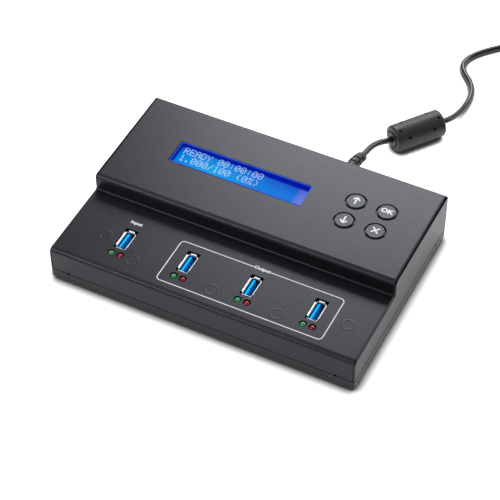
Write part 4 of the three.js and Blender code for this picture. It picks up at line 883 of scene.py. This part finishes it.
def stud(x, y):
    """A press-in stud under the deck, and the ring that it leaves in the paint."""
    levels = [(2.6, -0.2), (2.75, 0.0), (3.0, 0.035), (3.3, 0.05), (3.6, 0.035), (3.85, 0.0), (4.0, -0.2)]
    mark = loft("mark", [flat(circle(x, y, radius), DECK_TOP + z) for radius, z in levels], False)
    return mark, rod(5, x, y, PORT_BOARD_TOP, DECK_TOP - 0.8, 24)


def top_cover():
    """The folded sheet with its holes, and the studs and posts under it."""
    ends = [(RIGHT - short, inset) for short, inset in rounded(EDGE_ROUND, 0, 1, 8)]
    rings = []
    for x, inset in [(-x, inset) for x, inset in reversed(ends)] + ends:
        outline = cover_outline(inset, inset * CORNER_ROUND / EDGE_ROUND, COVER_RIM + min(0.2, inset), inset)
        rings.append([(x, y, z) for y, z in outline])
    body = loft("case_cover", rings)
    inner = cover_outline(SHEET, SHEET, COVER_RIM - 2)
    cut(body, [loft("hollow", [[(x, y, z) for y, z in inner] for x in (SHEET - RIGHT, RIGHT - SHEET)])])
    cut(body, [*cover_holes(), *notches(), *[corner_slit(*corner) for corner in CORNERS]])
    for side in (-1, 1):
        cut(body, [edge_groove(side)])
        cut(body, [riser_slit(side)])
    parts = [body]
    for x, y in STUDS:
        parts += stud(x, y)
    for side_x, side_y in CORNERS:
        top = (DECK_TOP if side_y < 0 else UPPER_TOP) - 0.8
        parts.append(rod(5.6, side_x * 85, side_y * 54.3, 2.8, top, 24))
    whole = smooth(merged("case_cover", parts), 28)
    finished(weighted(whole), "coat", replaces=["top_cover"])


top_cover()


def bottom_tray():
    """A folded sheet whose rim slopes away inside the seam, with tabs behind the cover's walls."""
    under, bend = 1.5, 0.8
    rings = [
        *rounded(bend, under, 1, 6),
        (0, TRAY_RIM - 0.24), (0.03, TRAY_RIM - 0.16), (0.09, TRAY_RIM - 0.14),
        (SHEET, TRAY_RIM - 1.3), (SHEET, under + SHEET),
    ]
    body = loft("tray", [
        flat(round_box(2 * (RIGHT - inset), 2 * (BACK - inset), max(0.15, 0.8 - 0.5 * inset), 5), z)
        for inset, z in rings
    ])
    parts = [cut(body, notches())]
    low, high, foot, top = SHEET + 0.3, 2 * SHEET + 0.3, under + 0.5, TRAY_RIM + 6
    for side in (-1, 1):
        for centre in (-54, 54):
            near, far = side * (BACK - low), side * (BACK - high)
            parts.append(box((centre - 10, near, foot), (centre + 10, far, top)))
            y = BACK - SHEET - 33.5 + side * 26
            parts.append(rod(5, copysign(66, centre), y, foot, under + SHEET + 3.9, 24))
        parts.append(box((side * (RIGHT - low), -10, foot), (side * (RIGHT - high), 10, top)))
    whole = smooth(merged("case_tray", parts), 28)
    finished(weighted(whole), "coat", replaces=["bottom_tray"])


bottom_tray()


# Prints on the deck and the keys
def stroke(name, line, width, z, high=0.02):
    """A flat line of print along points in the plan."""
    rings = []
    for index, (x, y) in enumerate(line):
        ahead, behind = line[min(index + 1, len(line) - 1)], line[max(index - 1, 0)]
        along = Vector((ahead[0] - behind[0], ahead[1] - behind[1])).normalized()
        u, v = along.y * width / 2, along.x * width / 2
        edges = [(x - u, y + v), (x + u, y - v)]
        rings.append(flat(edges, z) + flat(edges[::-1], z + high))
    return loft(name, rings)


def lettering(name, words, size, x, y, z, weight=0.0, stretch=1.0):
    data = bpy.data.curves.new(name, "FONT")
    data.body = words
    data.size = size * MM
    data.offset = weight * MM
    data.extrude = 0.01 * MM
    data.resolution_u = 6
    data.align_x = data.align_y = "CENTER"
    shown = in_scene(name, data)
    made = as_shown(shown)
    bpy.data.objects.remove(shown, do_unlink=True)
    made.transform(Matrix.Diagonal((stretch, 1, 1, 1)))
    return moved(in_scene(name, made), x, y, z + 0.01)


def deck_print():
    """A line round the target ports, broken for its label, and a label behind the source port."""
    x0, x1, y0, y1, radius, steps = -28.4, 67.7, -54.2, -24.0, 2.3, 10
    gap_left, gap_right, label_y = 14.8, 24.2, -23.8
    outline = shifted(round_box(x1 - x0, y1 - y0, radius, steps), (x0 + x1) / 2, (y0 + y1) / 2)
    line = [(gap_left, y1), *outline[steps + 1:], *outline[:steps + 1], (gap_right, y1)]
    finished(merged("deck_print", [
        stroke("border", line, 0.5, DECK_TOP),
        lettering("label", "Input", 2.8, -56.5, label_y, DECK_TOP, 0.11, 1.2),
        lettering("label", "Output", 2.8, 19.5, label_y, DECK_TOP, 0.11, 1.1),
    ]), "print")


deck_print()


def key_cap(name, x, y):
    """The cap with its stem, flange and skirt, and a grey ring round its top edge as a painted highlight."""
    radius, edge, skirt, stem, flange = 4.85, 0.34, 5.4, 2.5, 6.35
    foot, flange_foot, flange_top, skirt_top = 28.4, 31.4, 32.2, 32.8
    profile = [
        (0, foot), (stem, foot), (stem, flange_foot), (flange, flange_foot), (flange, flange_top),
        (skirt, flange_top), (skirt, skirt_top - 0.1), (skirt - 0.08, skirt_top), (skirt - 0.2, skirt_top),
        (radius + 0.05, skirt_top + 0.4), (radius, CAP_TOP - edge - 0.06), (radius - 0.04, CAP_TOP - edge),
        (radius - edge, CAP_TOP - 0.04), (radius - edge - 0.08, CAP_TOP - 0.05), (0, CAP_TOP - 0.05),
    ]
    cap = moved(lathe(f"key_{name}", profile, 72, 40), x, y, 0)
    wear_and_highlight = [(-0.32, -0.025), (-0.02, -0.325), (-0.04, -0.345), (-0.34, -0.045), (-0.32, -0.025)]
    # The grey ring round the cap's top edge is a painted highlight.
    rim = moved(lathe(f"key_painted_highlight_{name}", shifted(wear_and_highlight, radius, CAP_TOP), 72), x, y, 0)
    finished(rim, "edge", f"{name}_button")
    finished(weighted(cap), "cap", f"{name}_button", [f"button_cap_{name}"])


def key_print(name, x, y):
    """The legend; strokes that cross lie a hair above each other."""
    top, high = CAP_TOP - 0.045, 0.03
    if name == "ok":
        whole = lettering("word", "OK", 4.1, x, y, top, 0.21, 1.13)
    elif name == "cancel":
        whole = merged("cross", [
            stroke("bar", [(x - 1.95, y - 1.95 * s), (x + 1.95, y + 1.95 * s)], 0.85, top + 0.003 * s, high)
            for s in (1, -1)
        ])
    else:
        s = 1 if name == "up" else -1
        tip = (x, y + 2.5 * s)
        whole = merged("arrow", [
            stroke("shaft", [(x, y - 2.5 * s), (x, y + 2.1 * s)], 0.9, top, high),
            stroke("head", [(x - 1.9, y + 0.6 * s), tip], 0.9, top + 0.003, high),
            stroke("head", [(x + 1.9, y + 0.6 * s), tip], 0.9, top + 0.006, high),
        ])
    whole.name = f"legend_{name}"
    finished(whole, "print", f"{name}_button")


for key, (key_x, key_y) in BUTTONS.items():
    key_cap(key, key_x, key_y)
    key_print(key, key_x, key_y)


# Ports
def port_shell(name, x):
    """Drawn steel with two spring windows on each long side and four lips round its mouth."""
    mouth, spring_y = PORT_RIM - 0.9, 3.2
    outer = shifted(round_box(5.7, 13.1, 1.0, 5), x, PORT_Y)
    inner = shifted(round_box(5.0, 12.4, 0.7, 5), x, PORT_Y)
    shell = tube(name, [
        flat(outer, PORT_BOARD_TOP), flat(outer, mouth), flat(inner, mouth), flat(inner, PORT_BOARD_TOP),
    ])
    lip = [
        (0, -1.6), (0, -1.0), (0.08, -0.6), (0.2, -0.3), (0.34, -0.14), (0.42, -0.1), (0.42, 0.0),
        (0.26, 0.0), (0.06, -0.12), (-0.14, -0.36), (-0.28, -0.7), (-0.36, -1.1), (-0.36, -1.6),
    ]
    spring = [(2.6, 13.4), (2.35, 15.5), (2.12, 17.6), (2.3, 19.2), (2.45, 19.6)]
    windows, springs = [], []
    for side in (-1, 1):
        outside = [(x + side * (u + 0.2), z) for u, z in reversed(spring)]
        section = [(x + side * u, z) for u, z in spring] + outside
        for y in (PORT_Y - spring_y, PORT_Y + spring_y):
            windows.append(box((x + side * 2.2, y - 1.1, 13.5), (x + side * 3.1, y + 1.1, 19.8)))
            springs.append(slab(section, y - 0.8, y + 0.8))
        section = [(x + side * (2.85 + d * 1.2), PORT_RIM + z) for d, z in lip]
        springs.append(slab(section, PORT_Y - 5.15, PORT_Y + 5.15))
        springs.append(loft("short_lip", [
            [(x + u, PORT_Y + side * (6.55 + d * 0.8), PORT_RIM + z) for d, z in lip] for u in (-1.65, 1.65)
        ]))
    return weighted(smooth(merged(name, [cut(shell, windows), *springs]), 40))


def port_tongue(name, x):
    """Blue insulator with its tongue, whose corners are eased."""
    foot = soft_box("foot", x, PORT_Y, (4.7, 12.1), 0.5, PORT_BOARD_TOP, PORT_BOARD_TOP + 4.6, 0.15, 3)
    tongue = soft_box("tongue", x + TONGUE_X, PORT_Y, (TONGUE, 11.1), 0.2, PORT_BOARD_TOP + 3, 21.85, 0.25, 3)
    return weighted(smooth(merged(name, [foot, tongue]), 40))


def port_contacts(name, x):
    """Five flat pads near the tongue's tip, and four wiping springs behind them."""
    face = x + TONGUE_X + TONGUE / 2
    profile = [(0.02, 13.9), (0.35, 15.4), (0.72, 17.2), (0.45, 18.6), (0.05, 19.1)]
    section = [(face + u, z) for u, z in profile] + [(face + u - 0.16, z) for u, z in reversed(profile)]
    pads = [box((face - 0.05, PORT_Y + v - 0.45, 19.6), (face + 0.05, PORT_Y + v + 0.45, 21.4))
            for v in (-4, -2, 0, 2, 4)]
    springs = [slab(section, PORT_Y + v - 0.5, PORT_Y + v + 0.5) for v in (-3.5, -1.0, 1.0, 3.5)]
    return merged(f"{name}_pads", pads), merged(f"{name}_springs", springs)


def lamp(tint, port, x):
    """A domed lamp with a collar at its foot, and its two legs down to the board."""
    radius, collar, leg_x, half_leg = 1.82, 1.9, 1.27, 0.25
    bottom = LAMP_TOP - 5.3
    profile = [
        (0, bottom), (collar - 0.2, bottom), (collar, bottom + 0.15), (collar, bottom + 0.85),
        (collar - 0.05, bottom + 1), (radius, bottom + 1),
        *arc((0, LAMP_TOP - radius), radius, 0, 1, 10)[:-1], (0, LAMP_TOP),
    ]
    dome = moved(lathe(f"lens_{tint}_{port}", profile, 40), x, LAMP_Y, 0)
    legs = []
    for middle in (x - leg_x, x + leg_x):
        low = (middle - half_leg, LAMP_Y - half_leg, PORT_BOARD_TOP)
        legs.append(box(low, (middle + half_leg, LAMP_Y + half_leg, bottom + 0.3)))
    finished(dome, tint, replaces=[f"{tint}_lamp_{port}"])
    finished(merged(f"{tint}_{port}_legs", legs), "tin")


for port, port_x in zip(PORTS, PORT_XS):
    finished(port_shell(f"shell_{port}", port_x), "shell", replaces=[f"usb_shell_{port}"])
    finished(port_tongue(f"tongue_{port}", port_x), "blue", replaces=[f"usb_insulator_{port}"])
    pads, wipers = port_contacts(f"contacts_{port}", port_x)
    finished(pads, "dark_contact")
    finished(wipers, "brass")
    for tint, offset in zip(("green", "red"), LAMP_OFFSETS):
        lamp(tint, port, port_x + offset)


# Display
GLYPHS = {
    "R": "11110 10001 10001 11110 10100 10010 10001", "E": "11111 10000 10000 11110 10000 10000 11111",
    "A": "01110 10001 10001 11111 10001 10001 10001", "D": "11110 10001 10001 10001 10001 10001 11110",
    "Y": "10001 10001 01010 00100 00100 00100 00100", "0": "01110 10001 10011 10101 11001 10001 01110",
    "1": "00100 01100 00100 00100 00100 00100 01110", ":": "00000 00100 00100 00000 00100 00100 00000",
    ".": "00000 00000 00000 00000 00000 01100 01100", "/": "00001 00010 00010 00100 01000 01000 10000",
    "(": "00010 00100 01000 01000 01000 00100 00010", ")": "01000 00100 00010 00010 00010 00100 01000",
    "%": "11001 11010 00010 00100 01000 01011 10011",
}


def characters():
    """Two rows of characters, each of five by seven dots."""
    pitch_x, pitch_y, width, depth = 0.59, 0.69, 0.44, 0.54
    dots = []
    for row, words in enumerate(("READY 00:00:00", "1.000/100 (0%)")):
        for column, letter in enumerate(words):
            left, top = -55.5 + column * 3.5, 33.1 - row * 5.85
            for line, bits in enumerate(GLYPHS.get(letter, "").split()):
                for spot, bit in enumerate(bits):
                    if bit == "1":
                        x, y = left + spot * pitch_x, top - (line + 1) * pitch_y
                        far = (x + width, y + depth, GLASS_TOP + 0.01)
                        dots.append(box((x, y, GLASS_TOP - 0.02), far))
    return merged("display_dots", dots)


def display():
    """The lit cell, its characters and the clear rim inside the window."""
    low, high, wall = GLASS_TOP + 0.02, UPPER_TOP - 0.25, 0.35
    x, y = WINDOW_CENTRE[0] + 0.2, WINDOW_CENTRE[1] + 0.25
    width, depth = WINDOW_SIZE[0] - 0.6, WINDOW_SIZE[1] - 0.7
    cell = soft_box("display_cell", *WINDOW_CENTRE, (97.4, 23.4), 0.4, GLASS_BOTTOM, GLASS_TOP, 0.1, 3)
    finished(characters(), "dots")
    outer = shifted(round_box(width, depth, 0.3, 4), x, y)
    inner = shifted(round_box(width - 2 * wall, depth - 2 * wall, 0.3, 4), x, y)
    rim = tube("window_rim", [flat(outer, low), flat(outer, high), flat(inner, high), flat(inner, low)])
    finished(rim, "rim")
    finished(weighted(cell), "panel", replaces=["display_glass"])


display()

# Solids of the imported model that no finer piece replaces
CARRIED = {
    **{f"{part}_board": "board" for part in ("port", "display", "key", "main")},
    **{f"{part}_cable": "ribbon" for part in ("display", "key", "port")},
    "display_bezel": "black", "display_backlight": "diffuser", "controller_chip": "black",
    "bulk_capacitor": "sleeve", "dc_socket": "black", "dc_plug_barrel": "tin",
    **{f"rubber_foot_{index}": "rubber" for index in range(1, 5)},
    **{f"case_screw_{index}": "screw" for index in range(1, 5)},
    **{f"switch_{part}_{key}": "black" for part in ("plunger", "body") for key in BUTTONS},
}
for node_name, look in CARRIED.items():
    dress(NODES[node_name], look)


# Floor, world and lights
def floor_glow(tree, level, mirrored):
    """The floor's own light: level for the eye, straight or through glass, and mirrored in a gloss."""
    rays = add(tree, "LightPath", {}).outputs
    direct = maths("MAXIMUM", rays["Is Camera Ray"], rays["Is Transmission Ray"])
    seen = maths("MULTIPLY", direct, level)
    return maths("MULTIPLY_ADD", rays["Is Glossy Ray"], mirrored, seen)


def floor():
    """Matt pale floor, white for the eye except for a painted contact shadow close round whatever stands on
    it.
    """
    size, open_floor, behind, beside = 4, 0.475, 0.72, 1.05
    ground = in_scene("floor", bpy.data.meshes.new("floor"))
    corners = [(-size, -size, 0), (size, -size, 0), (size, size, 0), (-size, size, 0)]
    ground.data.from_pydata(corners, [], [(0, 1, 2, 3)])
    material = bpy.data.materials.new("floor")
    material.use_nodes = True
    tree = material.node_tree
    tree.nodes.remove(tree.nodes["Principled BSDF"])
    # Painted shadow: occlusion near whatever stands on the floor darkens its glow and colour; reach makes it
    # weaker behind the case.
    near = add(tree, "AmbientOcclusion", {"Distance": 6 * MM}, samples=12).outputs["AO"]
    reach = spread(axes(tree)["Y"], beside, behind, (BACK + 1) * MM, (BACK + 6) * MM)
    level = spread(near, 0.02, 0.85, open_floor, reach)
    # The floor's colour also darkens with occlusion, as painted shadow.
    pale = spread(near, 0.05, 0.95, open_floor, reach)
    matt = add(tree, "BsdfDiffuse", {"Color": pale})
    glow = add(tree, "Emission", {"Color": (1, 1, 1, 1), "Strength": floor_glow(tree, level, 0.42)})
    both = add(tree, "AddShader", {0: matt.outputs[0], 1: glow.outputs[0]})
    feed(tree.nodes["Material Output"], {"Surface": both.outputs[0]})
    ground.data.materials.append(material)


def world():
    """A white room, which mirrors darker overhead and towards the front."""
    sky = bpy.data.worlds.new("studio")
    SCENE.world = sky
    sky.use_nodes = True
    tree = sky.node_tree
    rays = add(tree, "LightPath", {}).outputs
    _, y, z = axes(tree, "Generated")
    mirrored = spread(maths("MULTIPLY_ADD", y, -0.6, z), 1.0, 0.3, 0.1, 0.4)
    shares = {"Factor": rays["Is Glossy Ray"], 2: 0.5, 3: mirrored}
    gloss = add(tree, "Mix", shares, data_type="FLOAT")
    white = maths("MAXIMUM", rays["Is Camera Ray"], rays["Is Transmission Ray"])
    level = maths("MAXIMUM", white, gloss.outputs[0])
    feed(tree.nodes["Background"], {"Color": (1, 1, 1, 1), "Strength": level})


def area_light(name, spot, width, height, watts):
    """A rectangular light aimed at the origin."""
    data = bpy.data.lights.new(name, "AREA")
    data.shape = "RECTANGLE"
    data.size, data.size_y = width, height
    data.energy = watts
    source = in_scene(name, data)
    source.location = spot
    source.rotation_euler = (-Vector(spot)).to_track_quat("-Z", "Y").to_euler()


floor()
world()
area_light("key", (-0.22, 0.9, 0.75), 0.55, 0.42, 5.8)
area_light("strip", (-0.38, 0.0, 1.15), 1.1, 0.3, 1.6)
area_light("side", (0.62, 0.87, 0.75), 0.6, 0.5, 2.8)
area_light("front", (-0.55, -0.8, 0.68), 0.8, 0.26, 4.2)

SCENE.view_settings.view_transform = "Standard"
